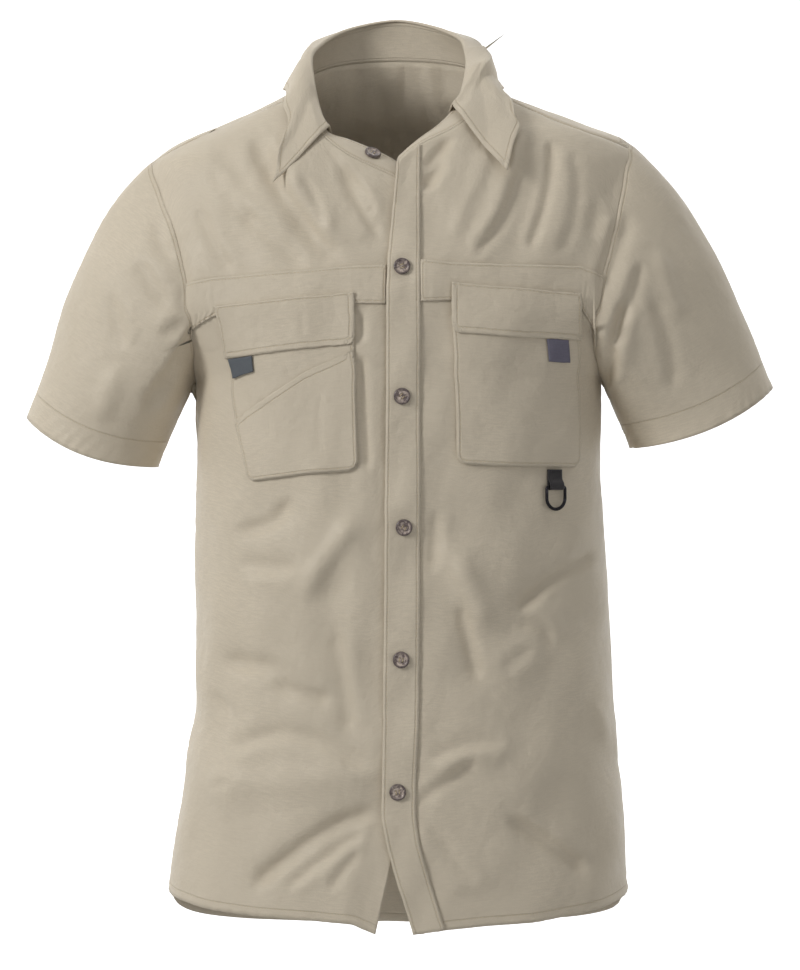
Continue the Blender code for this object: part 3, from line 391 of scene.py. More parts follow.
FRONT_CREASES = (
    # half width, height, lip's side, then x and z of points along it
    (9, -4.5, 1, (-133, -46), (-122, -74), (-106, -103), (-87, -130), (-66, -153), (-47, -170)),
    (5, -2.5, 1, (-91, -88), (-80, -103), (-72, -122), (-66, -139)),
    (7, -3.0, 1, (-145, -116), (-122, -135), (-96, -160), (-80, -172)),
    (10, -3.0, -1, (-170, -48), (-157, -67), (-143, -90), (-133, -111)),
    (7, -2.5, 1, (-173, -74), (-158, -99), (-143, -120), (-126, -135)),
    (6, -2.5, 1, (-182, -109), (-167, -148), (-148, -178)),
    (5, -2.5, -1, (-54, -76), (-42, -103), (-28, -126), (-17, -145)),
    (4, -2.0, 1, (-64, -62), (-49, -83), (-32, -104), (-21, -126)),
    (7, 2.5, 0, (-117, -46), (-99, -81), (-77, -116), (-55, -149)),
    (6, -4.0, -1, (112, -47), (112, -72), (104, -98), (93, -125), (78, -147), (64, -161)),
    (5, -3.5, -1, (135, -50), (136, -76), (131, -107), (124, -131), (114, -156)),
    (5, -3.0, 1, (49, -50), (35, -66), (20, -85)),
    (5, -3.0, 1, (42, -70), (31, -87), (20, -104)),
    (8, -2.5, 1, (177, -103), (175, -125), (170, -149)),
    (8, 2.5, 0, (80, -54), (71, -85), (55, -125), (44, -151)),
    (6, -2.0, -1, (155, -58), (159, -94), (154, -129), (141, -160)),
    (9, -4.0, 1, (-217, -120), (-215, -146), (-196, -166)),
    (7, -3.0, 1, (-262, -188), (-255, -216), (-247, -244)),
    (11, 4.0, 0, (-276, -313), (-263, -281), (-251, -250)),
    (8, -3.5, -1, (-235, -298), (-216, -276), (-197, -255)),
    (7, -3.0, 1, (-221, -231), (-204, -225), (-186, -216)),
    (8, -3.0, 1, (-237, -156), (-221, -187), (-202, -209)),
    (8, -4.0, -1, (206, -114), (202, -136), (190, -166), (177, -195)),
    (6, -3.5, -1, (217, -161), (210, -187), (199, -216), (190, -241)),
    (6, -5.0, 1, (202, -195), (194, -226), (189, -253), (187, -277)),
    (7, -3.0, -1, (225, -191), (237, -222), (244, -253), (248, -279)),
    (8, 3.0, 0, (230, -147), (240, -182), (256, -218)),
    (6, -3.0, 1, (-150, -406), (-128, -402), (-110, -394), (-95, -373)),
    (8, -3.5, -1, (-148, -432), (-117, -436), (-86, -435)),
    (9, 4.0, 0, (-39, -391), (-57, -416), (-75, -443), (-86, -464)),
    (7, -3.0, 1, (-57, -488), (-52, -523), (-48, -558), (-45, -587)),
    (8, -3.5, -1, (-163, -520), (-133, -524), (-103, -526)),
    (6, -3.0, 1, (-116, -540), (-88, -549), (-57, -555)),
    (6, -3.0, 1, (-171, -546), (-161, -561), (-150, -573)),
    (7, -3.5, -1, (-156, -602), (-131, -590), (-103, -584), (-78, -588), (-57, -596), (-22, -617)),
    (6, -2.5, 1, (-174, -635), (-148, -629)),
    (7, -4.5, 1, (-19, -652), (-46, -660), (-74, -675), (-104, -698), (-133, -722)),
    (5, -3.0, 1, (-30, -669), (-66, -693), (-103, -722)),
    (5, -3.0, -1, (-34, -684), (-50, -704), (-65, -725)),
    (6, -3.0, 1, (32, -382), (31, -412), (29, -446)),
    (9, 4.5, 0, (47, -420), (56, -443), (69, -467), (79, -488)),
    (6, -3.0, 1, (53, -467), (62, -505), (70, -540)),
    (5, -4.0, -1, (103, -476), (119, -462), (138, -446), (159, -435), (179, -426)),
    (6, -3.5, 1, (100, -485), (115, -486), (129, -493), (138, -511)),
    (7, -3.5, -1, (85, -529), (104, -518), (123, -502)),
    (5, -2.5, 1, (158, -491), (185, -476)),
    (8, 4.0, 0, (170, -553), (179, -576), (187, -599)),
    (7, -3.5, -1, (20, -608), (49, -596), (75, -591), (100, -593)),
    (6, -3.0, 1, (14, -646), (42, -626), (71, -605)),
    (6, -3.5, 1, (94, -658), (119, -674), (146, -693), (170, -711)),
    (7, -3.5, -1, (23, -658), (40, -682), (55, -702), (71, -720)),
    (4, -3.5, 0, (-34, -246), (-32, -288), (-29, -332), (-29, -352)),
    (4, -3.0, 0, (-36, -207), (-34, -225), (-34, -240)),
)
POCKET_CREASES = (
    # half width, height, lip's side, then x and z of points along it
    (3, -0.7, 0, (-128, -210), (-126, -226), (-124, -244)),
    (3, -0.7, 1, (-88, -209), (-86, -223), (-86, -236)),
    (3, -0.7, 0, (-101, -258), (-97, -268), (-93, -277)),
    (3, -0.7, 1, (-126, -283), (-118, -302), (-115, -324)),
    (4, -0.7, 0, (-145, -278), (-139, -288), (-126, -302)),
    (3, -0.7, 0, (-69, -271), (-72, -306), (-69, -343)),
)
BACK_CREASES = (
    # half width, height, lip's side, then x and z of points along it
    (9, -4.0, 1, (-128, -118), (-104, -180), (-84, -240), (-66, -300)),
    (9, -4.0, -1, (124, -112), (104, -176), (82, -232), (70, -290)),
    (8, 3.0, 0, (-30, -110), (-22, -180), (-34, -250)),
    (8, 3.0, 0, (34, -108), (26, -170), (40, -236)),
    (7, -3.0, 1, (-170, -230), (-140, -262), (-108, -276)),
    (7, -3.0, -1, (168, -226), (136, -268), (96, -286)),
    (9, -3.5, 1, (-150, -380), (-90, -402), (-20, -412)),
    (9, -3.5, -1, (150, -362), (98, -398), (46, -432)),
    (10, 4.0, 0, (-120, -470), (-70, -520), (-50, -590)),
    (9, -3.5, 1, (-10, -480), (24, -540), (30, -610)),
    (8, -3.5, -1, (128, -500), (84, -560), (70, -640)),
    (10, 4.0, 0, (110, -600), (96, -680), (104, -760)),
    (8, -3.0, 1, (-150, -620), (-92, -650), (-30, -646)),
    (8, -3.5, -1, (-70, -690), (-86, -730), (-84, -778)),
    (7, -3.0, 1, (20, -700), (26, -740), (16, -784)),
    (8, -3.5, 1, (-232, -150), (-250, -200), (-262, -260)),
    (8, -3.5, -1, (226, -150), (246, -200), (262, -250)),
    (7, 3.0, 0, (-300, -270), (-276, -236), (-240, -214)),
    (7, 3.0, 0, (300, -250), (274, -222), (238, -204)),
)

def smooth(table_x, table_y, x):
    """Values of a smooth curve through the table's points, with no overshoot between them."""
    tx = np.asarray(table_x, float)
    ty = np.asarray(table_y, float)
    if tx[0] > tx[-1]:
        tx, ty = tx[::-1], ty[::-1]
    step = np.diff(tx)
    slope = np.diff(ty) / step
    tangent = np.zeros(len(tx))
    tangent[0], tangent[-1] = slope[0], slope[-1]
    for i in range(1, len(tx) - 1):
        if slope[i - 1] * slope[i] > 0:
            w1 = 2 * step[i] + step[i - 1]
            w2 = step[i] + 2 * step[i - 1]
            tangent[i] = (w1 + w2) / (w1 / slope[i - 1] + w2 / slope[i])
    x = np.clip(np.asarray(x, float), tx[0], tx[-1])
    i = np.clip(np.searchsorted(tx, x, side="right") - 1, 0, len(tx) - 2)
    h = step[i]
    s = (x - tx[i]) / h
    return (ty[i] * (1 + 2 * s) * (1 - s) ** 2 + h * tangent[i] * s * (1 - s) ** 2
            + ty[i + 1] * s * s * (3 - 2 * s) + h * tangent[i + 1] * s * s * (s - 1))


def unit(v):
    """Vectors along the last axis brought to length 1."""
    return v / np.maximum(np.linalg.norm(v, axis=-1, keepdims=True), 1e-12)


def soft_step(x):
    x = np.clip(x, 0.0, 1.0)
    return x * x * (3 - 2 * x)


def ring_sizes(z):
    rings = np.array(RINGS, float)
    return [smooth(rings[:, 0], rings[:, k], z) for k in range(1, 5)]


def ring_point(angle, z):
    """Point of the bare form at an angle from the front (towards +X) and a height."""
    right, left, front, back = ring_sizes(z)
    s, c = np.sin(angle), np.cos(angle)
    wide = np.where(s < 0, right, left)
    deep = np.where(c > 0, front, back)
    power = 2 / ROUNDNESS
    return np.stack([wide * np.sign(s) * np.abs(s) ** power, -deep * np.sign(c) * np.abs(c) ** power, z + 0 * s], -1)


def angle_at(x, z):
    """Angle from the front at which the form's front half has this x."""
    right, left, _, _ = ring_sizes(z)
    wide = np.where(x < 0, right, left)
    return np.sign(x) * np.arcsin(np.clip(np.abs(x) / wide, 0, 1) ** (ROUNDNESS / 2))


def place_from_above(x, y):
    """Angle and height of the shoulders' surface where it is seen from above at this place."""
    low, high = np.full(len(x), -150.0), np.full(len(x), 40.0)
    for _ in range(40):
        z = (low + high) / 2
        right, left, front, back = ring_sizes(z)
        wide = np.where(x < 0, right, left)
        deep = np.where(y < 0, front, back)
        outside = (np.abs(x) / wide) ** ROUNDNESS + (np.abs(y) / deep) ** ROUNDNESS > 1
        high = np.where(outside, z, high)
        low = np.where(outside, low, z)
    half = ROUNDNESS / 2
    return np.arctan2(np.sign(x) * (np.abs(x) / wide) ** half, -np.sign(y) * (np.abs(y) / deep) ** half), z


def folds(x, z, table):
    """Height of the soft folds at a place seen from the front or the back."""
    total = np.zeros(np.broadcast(x, z).shape)
    for x1, z1, x2, z2, width, height in table:
        length = math.hypot(x2 - x1, z2 - z1)
        ux, uz = (x2 - x1) / length, (z2 - z1) / length
        along = (x - x1) * ux + (z - z1) * uz
        across = (x - x1) * -uz + (z - z1) * ux
        ends = soft_step((along + width) / (2 * width)) * soft_step((length + width - along) / (2 * width))
        total = total + height * ends * np.exp(-(across / width) ** 2)
    return total


def surface(angle, z):
    """Point of the form with its folds, which fade at the side and shoulder seams."""
    p = ring_point(angle, z)
    step = 0.004
    n = unit(np.cross(ring_point(angle + step, z) - ring_point(angle - step, z),
                      ring_point(angle, z + 1) - ring_point(angle, z - 1)))
    x = p[..., 0]
    shoulder = -6 - 0.46 * np.maximum(np.abs(x) - 83, 0)
    ahead = np.cos(angle)
    front = folds(x, z, FRONT_FOLDS) * soft_step(ahead * 3) * soft_step((shoulder - z - 14) / 30)
    back = folds(x, z, BACK_FOLDS) * soft_step(-ahead * 3)
    return p + n * (front + back)[..., None]


def surface_normal(angle, z):
    step = 0.02
    return unit(np.cross(surface(angle + step, z) - surface(angle - step, z),
                         surface(angle, z + 2) - surface(angle, z - 2)))


def clear_of_form(p, distance):
    """Points moved out along the form's normals until they lie at least this far outside it."""

    def depth(q):
        right, left, front, back = ring_sizes(q[..., 2])
        wide = np.where(q[..., 0] < 0, right, left)
        deep = np.where(q[..., 1] < 0, front, back)
        total = (np.abs(q[..., 0]) / wide) ** ROUNDNESS + (np.abs(q[..., 1]) / deep) ** ROUNDNESS
        return total ** (1 / ROUNDNESS) - 1

    for _ in range(4):
        here = depth(p)
        slope = np.stack([depth(p + step) - depth(p - step) for step in np.eye(3) * 0.5], -1)
        steep = np.linalg.norm(slope, axis=-1)
        away = here / steep
        p = p + slope / steep[..., None] * np.maximum(distance - away, 0)[..., None]
    return p


def finer(grid, parts, axis=0, rounded=False):
    """A grid whose cells are cut in parts along one axis, on smooth curves through its values."""
    g = np.moveaxis(np.asarray(grid, float), axis, 0)
    slope = np.diff(g, axis=0)
    before, after = slope[:-1], slope[1:]
    if rounded:
        inner = (before + after) / 2
    else:
        same = before * after > 0
        inner = np.where(same, 2 * before * after / np.where(same, before + after, 1), 0)
    tangent = np.concatenate([slope[:1], inner, slope[-1:]])
    s = (np.arange(parts) / parts).reshape((1, parts) + (1,) * (g.ndim - 1))
    a, b, ta, tb = g[:-1, None], g[1:, None], tangent[:-1, None], tangent[1:, None]
    out = (a * (1 + 2 * s) * (1 - s) ** 2 + ta * s * (1 - s) ** 2
           + b * s * s * (3 - 2 * s) + tb * s * s * (s - 1))
    out = np.concatenate([out.reshape((-1,) + g.shape[1:]), g[-1:]])
    return np.moveaxis(out, 0, axis)


def lengths(p, axis):
    """Distance along each of a grid's lines from its first point."""
    step = np.linalg.norm(np.diff(p, axis=axis), axis=-1)
    pad = [(0, 0), (0, 0)]
    pad[axis] = (1, 0)
    return np.pad(np.cumsum(step, axis=axis), pad)


class Sheet:
    """A grid of points with normals: rows run up, columns run towards the wearer's left. Row 0 is the lower edge."""

    def __init__(self, points, normals, ring=False, angle=None, z=None):
        self.p = np.array(points, float)
        self.n = np.array(normals, float)
        self.ring = ring
        self.angle, self.z = angle, z

    @classmethod
    def on_form(cls, angle, z):
        return cls(surface(angle, z), surface_normal(angle, z), angle=angle, z=z)

    def flipped(self):
        """The same sheet with its columns in the other order."""
        angle, z = (None, None) if self.angle is None else (self.angle[:, ::-1], self.z[:, ::-1])
        return Sheet(self.p[:, ::-1], self.n[:, ::-1], self.ring, angle, z)

    def renew(self):
        """Normals taken afresh from the moved points, on the side where they were."""
        across = np.roll(self.p, -1, 1) - np.roll(self.p, 1, 1) if self.ring else np.gradient(self.p, axis=1)
        n = unit(np.cross(across, np.gradient(self.p, axis=0)))
        self.n = n * np.where(np.sum(n * self.n, -1, keepdims=True) < 0, -1, 1)
        return self

    def to_edges(self):
        """Distance of each point to the lower, upper, first and last edge; a ring has no first and last."""
        v = lengths(self.p, 0)
        far = np.full(v.shape, 1e6)
        if self.ring:
            return {"bottom": v, "top": v[-1] - v, "first": far, "last": far}
        u = lengths(self.p, 1)
        return {"bottom": v, "top": v[-1] - v, "first": u, "last": u[:, -1:] - u}

    def at(self, row, column):
        """Points and normals at places between the grid's lines."""
        row, column = np.asarray(row, float), np.asarray(column, float)
        rows, columns = self.p.shape[:2]
        if self.ring:
            column = column % columns
        j = np.clip(row.astype(int), 0, rows - 2)
        i = np.clip(column.astype(int), 0, columns - (1 if self.ring else 2))
        v, u = (row - j)[..., None], (column - i)[..., None]
        k = (i + 1) % columns

        def mix(g):
            return (g[j, i] * (1 - v) * (1 - u) + g[j, k] * (1 - v) * u
                    + g[j + 1, i] * v * (1 - u) + g[j + 1, k] * v * u)

        return mix(self.p), unit(mix(self.n))

    def part(self, rows, columns, lift):
        """A piece that lies on this sheet, from a span of its rows and columns, moved out."""
        p = self.p[rows[0]:rows[1] + 1, columns[0]:columns[1] + 1]
        n = self.n[rows[0]:rows[1] + 1, columns[0]:columns[1] + 1]
        lift = np.broadcast_to(np.asarray(lift, float), p.shape[:2])
        return Sheet(p + n * lift[..., None], n)

    def moved(self, height):
        """The sheet with its points moved out by a height at each."""
        self.p = self.p + self.n * np.asarray(height)[..., None]
        return self.renew()

    def drawn_in(self, gap):
        """The sheet with each of its edges drawn in."""
        for row, column, inner in ((0, slice(None), (1, slice(None))), (-1, slice(None), (-2, slice(None))),
                                   (slice(None), 0, (slice(None), 1)), (slice(None), -1, (slice(None), -2))):
            line = self.p[row, column]
            inwards = unit(self.p[inner] - line)
            self.p[row, column] = line + inwards * gap
        return self

    def rounded(self, radius, corners):
        """The sheet with some of its corners rounded; a corner is named by its row edge and its column edge."""
        for row_edge, column_edge in corners:
            far = self.to_edges()
            a = 1 - far[row_edge] / radius
            b = 1 - far[column_edge] / radius
            inside = (a > 0) & (b > 0)
            a, b = np.clip(a, 0, 1), np.clip(b, 0, 1)
            up = unit(np.gradient(self.p, axis=0)) * (1 if row_edge == "bottom" else -1)
            along = unit(np.gradient(self.p, axis=1)) * (1 if column_edge == "first" else -1)
            move_up = (a - a * np.sqrt(1 - b * b / 2)) * radius * inside
            move_along = (b - b * np.sqrt(1 - a * a / 2)) * radius * inside
            self.p = self.p + up * move_up[..., None] + along * move_along[..., None]
        return self

    def area(self):
        """Area of the sheet in square metres."""
        p = np.concatenate([self.p, self.p[:, :1]], 1) if self.ring else self.p
        one = np.cross(p[1:, 1:] - p[:-1, :-1], p[1:, :-1] - p[:-1, 1:])
        return float(np.linalg.norm(one, axis=-1).sum() / 2) * MM * MM


def crease_heights(x, z, table, room=4.2):
    """Height of the listed creases at places seen from the front or the back."""
    total = np.zeros(x.shape)
    for width, height, lip, *points in table:
        line = finer(np.array(points, float), 5, rounded=True)
        low, high = line.min(0) - room * width, line.max(0) + room * width
        near = (x > low[0]) & (x < high[0]) & (z > low[1]) & (z < high[1])
        if not near.any():
            continue
        px, pz = x[near], z[near]
        best = np.full(px.shape, 1e9)
        across, along = np.zeros(px.shape), np.zeros(px.shape)
        start = 0.0
        for a, b in zip(line, line[1:]):
            d = b - a
            length = math.hypot(*d)
            t = np.clip(((px - a[0]) * d[0] + (pz - a[1]) * d[1]) / length ** 2, 0, 1)
            ox, oz = px - a[0] - t * d[0], pz - a[1] - t * d[1]
            away = np.hypot(ox, oz)
            closer = away < best
            best = np.where(closer, away, best)
            across = np.where(closer, away * np.sign(d[0] * oz - d[1] * ox), across)
            along = np.where(closer, start + t * length, along)
            start += length
        ends = soft_step(along / (2.4 * width)) * soft_step((start - along) / (2.4 * width))
        q = across / (width * (0.55 + 0.45 * ends))
        shape = np.exp(-q * q)
        if lip:
            shape = shape - 0.45 * np.exp(-((q * lip - 1.7) / 1.1) ** 2)
        total[near] += height * ends * shape
    return total


def ripples(u, v, seed, wave, height, stretch=1.0):
    """Small uneven waves over the cloth, the same on every run; stretch lengthens them along v."""
    dice = np.random.RandomState(seed)
    total = np.zeros(np.broadcast(u, v).shape)
    waves = 14
    for turn, size, phase in zip(dice.uniform(0, math.tau, waves), dice.uniform(0.6, 1.7, waves),
                                 dice.uniform(0, math.tau, waves)):
        total = total + np.cos((u * math.cos(turn) + v / stretch * math.sin(turn)) * math.tau / (wave * size) + phase)
    return total * height / math.sqrt(waves / 2)


def crinkles(u, v, seed, wave, height):
    """Sharp little valleys between soft cushions, as in thin cloth that has been crumpled."""
    field = ripples(u, v, seed, wave, 1.0)
    return height * (np.tanh(np.abs(field) * 1.6) - 0.6)


def puckers(along, distance, seed, wave, height, reach, slant=0.0):
    """Short waves that a seam pulls into the cloth beside it."""
    drift = ripples(along, np.zeros_like(along), seed, wave * 5, 1.6)
    strength = 0.65 + ripples(along, np.zeros_like(along), seed + 1, wave * 8, 0.3)
    return (height * np.clip(strength, 0.1, 1.4) * np.exp(-distance / reach)
            * np.cos((along + slant * distance) * math.tau / wave + drift))


def row_index(side, name):
    """Grid row at which a named row of a front lies."""
    total = 0
    for row in FRONT_ROWS[side]:
        if row[0] == name:
            return total * UP
        total += row[1]
    return total * UP


def column_index(number):
    """Grid column at which a named column of a front lies, counted from its edge."""
    return sum(COLUMN_CELLS[:number]) * ACROSS


def spread(cells, values):
    """Places between the values, with the given number of cells from each to the next."""
    out = [values[0]]
    for count, a, b in zip(cells, values, values[1:]):
        out += [a + (b - a) * (k + 1) / count for k in range(count)]
    return np.array(out, float)


def front_panel(side):
    """One front: its grid follows the placket, the pocket's edges, the armhole and the neckline."""
    sign = -1 if side == "right" else 1
    rows = FRONT_ROWS[side]
    cells = [row[1] for row in rows]
    heights = np.array([row[2:] for row in rows], float)
    columns = np.array(FRONT_COLUMNS[side], float)
    armhole = np.array(ARMHOLE[side], float)
    low = [spread(cells[:-1], heights[:, c]) for c in range(6)]
    x_low = [smooth(columns[:, 0], columns[:, c + 1], low[c]) for c in range(5)]
    body = COLUMN_CELLS[:4]
    z_body = np.array([spread(body, [low[c][j] for c in range(5)]) for j in range(len(low[0]))])
    x_body = np.array([spread(body, [x_low[c][j] for c in range(5)]) for j in range(len(low[0]))])
    top = np.array(FRONT_TOP[side], float)
    top_x = spread(body, [top[0, 0], columns[-1, 2], columns[-1, 3], columns[-1, 4], columns[-1, 5] + 6])
    neck = sum(COLUMN_CELLS[:2])
    for k, part in enumerate(NECK_SHARES, 1):
        top_x[neck + k] = top_x[neck] + (top_x[neck + 3] - top_x[neck]) * part
    top_z = smooth(top[:, 0], top[:, 1], top_x)
    share = (np.arange(1, cells[-1] + 1) / cells[-1])[:, None]
    z_body = np.concatenate([z_body, z_body[-1] * (1 - share) + top_z * share])
    x_body = np.concatenate([x_body, x_body[-1] * (1 - share) + top_x * share])
    angle = angle_at(sign * x_body, z_body)
    armpit = row_index(side, "opening") // UP
    over = row_index(side, "band bottom") // UP
    ease = (np.arange(over - armpit + 1) / (over - armpit)) ** ARMPIT_EASE
    low[5][armpit:over + 1] = low[5][armpit] + (low[5][over] - low[5][armpit]) * ease
    z_side = np.concatenate([low[5], low[5][-1] * (1 - share[:, 0]) + top[-1, 1] * share[:, 0]])
    x_side = smooth(armhole[:, 0], armhole[:, 1], z_side)
    side_angle = np.where(z_side > armhole[0, 0] + 0.5, angle_at(sign * x_side, z_side), sign * math.pi / 2)
    share = np.arange(1, COLUMN_CELLS[4] + 1) / COLUMN_CELLS[4]
    angle = np.concatenate([angle, angle[:, -1:] * (1 - share) + side_angle[:, None] * share], 1)
    z_extra = z_body[:, -1:] * (1 - share) + z_side[:, None] * share
    z_extra[-1] = smooth(top[:, 0], top[:, 1], np.abs(ring_point(angle[-1, -4:], z_extra[-1])[:, 0]))
    z_extra[-1, -1] = top[-1, 1]
    z = np.concatenate([z_body, z_extra], 1)
    angle, z = [finer(finer(grid, UP), ACROSS, axis=1) for grid in (angle, z)]
    sheet = Sheet.on_form(angle, z)
    if side == "right":
        under = np.interp(np.arange(z.shape[1]) / ACROSS, [0, 2, 4], [-3.2, -2.4, 0.0])
        sheet.p += sheet.n * under[None, :, None]
        sheet = sheet.flipped()
    return sheet


def back_panel(fronts):
    """The back, from side seam to side seam, under the yoke."""
    armpit = row_index("right", "opening")
    vent = row_index("right", "vent")
    rise = BACK_CELLS_ARMHOLE * UP
    edges = []
    for side in SIDES:
        armhole = np.array(ARMHOLE[side], float)
        z = fronts[side].z[:, 0 if side == "right" else -1][:armpit + 1].copy()
        z[:vent] = BACK_HEM_SIDE + (z[vent] - BACK_HEM_SIDE) * np.arange(vent) / vent
        angle = np.full(len(z), math.pi / 2)
        angle[:vent] -= math.radians(VENT_SPREAD) * (1 - np.arange(vent) / vent)
        z_up = armhole[0, 0] + (YOKE_BACK_CORNER - armhole[0, 0]) * np.arange(1, rise + 1) / rise
        x_up = smooth(armhole[:, 0], armhole[:, 2], z_up)
        sign = -1 if side == "right" else 1
        edges.append((np.concatenate([z, z_up]),
                      sign * np.concatenate([angle, np.abs(angle_at(sign * x_up, z_up))])))
    columns = YOKE_CELLS_BACK * BACK_ACROSS
    share = np.arange(columns + 1) / columns
    z = edges[0][0][:, None] * (1 - share) + edges[1][0][:, None] * share
    angle = edges[0][1][:, None] * (1 - share) + edges[1][1][:, None] * share
    bow = 1 - (2 * share - 1) ** 2
    row = np.arange(len(z))
    z += np.outer(np.clip(1 - row / vent, 0, 1), (BACK_HEM_CENTRE - BACK_HEM_SIDE) * bow ** 0.6)
    z += np.outer(np.clip((row - armpit) / rise, 0, 1), (YOKE_BACK_CENTRE - YOKE_BACK_CORNER) * bow)
    return Sheet.on_form(math.pi - angle, z)


def yoke_panel(fronts, back):
    """The yoke, as rays from the neck edge out to the shoulder seams, armholes and back seam."""
    neck_table = np.array(YOKE_NECK, float)
    first = column_index(3)
    seams = {}
    for side in SIDES:
        f = fronts[side].flipped() if side == "right" else fronts[side]
        seams[side] = (np.abs(f.angle[-1, first:]), f.z[-1, first:])
    starts = [math.degrees(seams[side][0][0]) for side in SIDES]
    side_rays = [start + (81 - start) * np.arange(YOKE_CELLS_SIDE + 1) / YOKE_CELLS_SIDE for start in starts]
    back_rays = 81 + (279 - 81) * np.arange(1, YOKE_CELLS_BACK) / YOKE_CELLS_BACK
    around = np.concatenate([side_rays[0], back_rays, 360 - side_rays[1][::-1]])
    neck_z = smooth(neck_table[:, 0], neck_table[:, 1], np.where(around > 180, 360 - around, around))
    neck_z[0], neck_z[-1] = [seams[side][1][0] for side in SIDES]
    back_z, back_angle = back.z[-1, ::BACK_ACROSS], back.angle[-1, ::BACK_ACROSS]
    outer_angle, outer_z = [], []
    share = np.arange(YOKE_CELLS_SIDE + 1) / YOKE_CELLS_SIDE
    for end, side in enumerate(SIDES):
        corner_z, corner_angle = back_z[-end], abs(back_angle[-end])
        corner_angle = corner_angle if end else math.tau - corner_angle
        tip_angle, tip_z = seams[side][0][-1], seams[side][1][-1]
        edge_angle = tip_angle + (corner_angle - tip_angle) * share
        tip_x = ARMHOLE[side][-1][1]
        edge_x = tip_x + (abs(ring_point(corner_angle, corner_z)[0]) - tip_x) * share
        slope_z = np.linspace(-150, 0, 151)
        slope_x = ring_sizes(slope_z)[end]
        edge_z = np.interp(-edge_x / np.sin(edge_angle) ** (2 / ROUNDNESS), -slope_x, slope_z)
        edge_z[0], edge_z[-1] = tip_z, corner_z
        outer_angle.append(edge_angle)
        outer_z.append(edge_z)
    ring_angle = np.concatenate([outer_angle[0], math.tau - back_angle[1:-1], math.tau - outer_angle[1][::-1]])
    ring_z = np.concatenate([outer_z[0], back_z[1:-1], outer_z[1][::-1]])
    neck_point = ring_point(-np.radians(around), neck_z)
    outer_point = ring_point(-ring_angle, ring_z)
    rows = []
    for part in np.arange(1, YOKE_ROWS) / YOKE_ROWS:
        plan = outer_point * (1 - part) + neck_point * part
        angle, z = place_from_above(plan[:, 0], plan[:, 1])
        rows.append((np.where(angle > 0, angle - math.tau, angle), z))
    rows = [(-ring_angle, ring_z)] + rows + [(-np.radians(around), neck_z)]
    angle, z = [finer(finer(np.array([row[k] for row in rows]), ACROSS), BACK_ACROSS, axis=1) for k in (0, 1)]
    for column, side in ((0, "right"), (-1, "left")):
        seam_angle, seam_z = seams[side][0][::-1], seams[side][1][::-1]
        angle[:, column] = -seam_angle if side == "right" else seam_angle - math.tau
        z[:, column] = seam_z
    near, far = YOKE_CELLS_SIDE * BACK_ACROSS, (YOKE_CELLS_SIDE + YOKE_CELLS_BACK) * BACK_ACROSS
    angle[0, near:far + 1] = back.angle[-1] - math.tau
    z[0, near:far + 1] = back.z[-1]
    return Sheet.on_form(angle, z)


def armhole_edge(side, fronts, yoke, back):
    """References to the grid points round an armhole, from the armpit up the front and down the back."""
    armpit = row_index("right", "opening")
    front, column = fronts[side], 0 if side == "right" else -1
    spots = [(front, j, column) for j in range(armpit, front.p.shape[0])]
    yoke_columns = range(1, YOKE_CELLS_SIDE * BACK_ACROSS + 1)
    spots += [(yoke, 0, i if side == "right" else yoke.p.shape[1] - 1 - i) for i in yoke_columns]
    spots += [(back, j, column) for j in range(back.p.shape[0] - 2, armpit, -1)]
    return spots


def sleeve(side, spots):
    """A sleeve from the armhole's own points to the cuff."""
    sign = -1 if side == "right" else 1
    x, z, half_width, half_depth, hang = CUFFS[side]
    tilt = math.radians(abs(CUFF_TILT[side]))
    inwards = np.array([-sign * math.cos(tilt), 0, -math.sin(tilt)])
    down = np.array([sign * math.sin(tilt), 0, -math.cos(tilt)])
    start = np.array([s.p[j, i] for s, j, i in spots])
    panel_normal = np.array([s.n[j, i] for s, j, i in spots])
    far = np.concatenate([[0], np.cumsum(np.linalg.norm(np.diff(start, axis=0, append=start[:1]), axis=1))])
    ridge = int(np.argmax(start[:, 2]))
    turn = np.interp(far[:-1], [0, far[ridge], far[-1]], [0, math.pi, math.tau])
    ends = (np.array([x, 0, z], float) + inwards * half_width * np.cos(turn)[:, None]
            + np.array([0, -1, 0]) * half_depth * np.sin(turn)[:, None]
            + down * hang * (np.sin(turn) ** 2)[:, None])
    outside = ((1 - np.cos(turn)) / 2)[:, None]
    leave = unit(down * (1 - 0.3 * outside) + np.array([sign, 0, 0]) * (0.12 + 0.45 * outside)
                 + np.array([0, -1, 0]) * 0.22 * np.sin(turn)[:, None])
    reach = np.linalg.norm(ends - start, axis=1, keepdims=True)
    handle_a = start + leave * reach * 0.34
    handle_b = ends - down * reach * 0.34
    s = ((np.arange(SLEEVE_CELLS * SLEEVE_UP + 1) / (SLEEVE_CELLS * SLEEVE_UP)) ** 1.15)[:, None, None]
    p = start * (1 - s) ** 3 + 3 * handle_a * s * (1 - s) ** 2 + 3 * handle_b * s * s * (1 - s) + ends * s ** 3
    n = unit(np.cross(np.gradient(p, axis=0), np.roll(p, -1, 1) - np.roll(p, 1, 1))) * sign
    shared = soft_step((np.sum(n[0] * panel_normal, -1, keepdims=True) + 0.3) / 0.8)
    p[0] += panel_normal * (1 - shared) * (CLOTH + 2 * SEAM_GAP)
    sheet = Sheet(p[::-1], n[::-1], ring=True)
    return sheet.flipped() if side == "left" else sheet


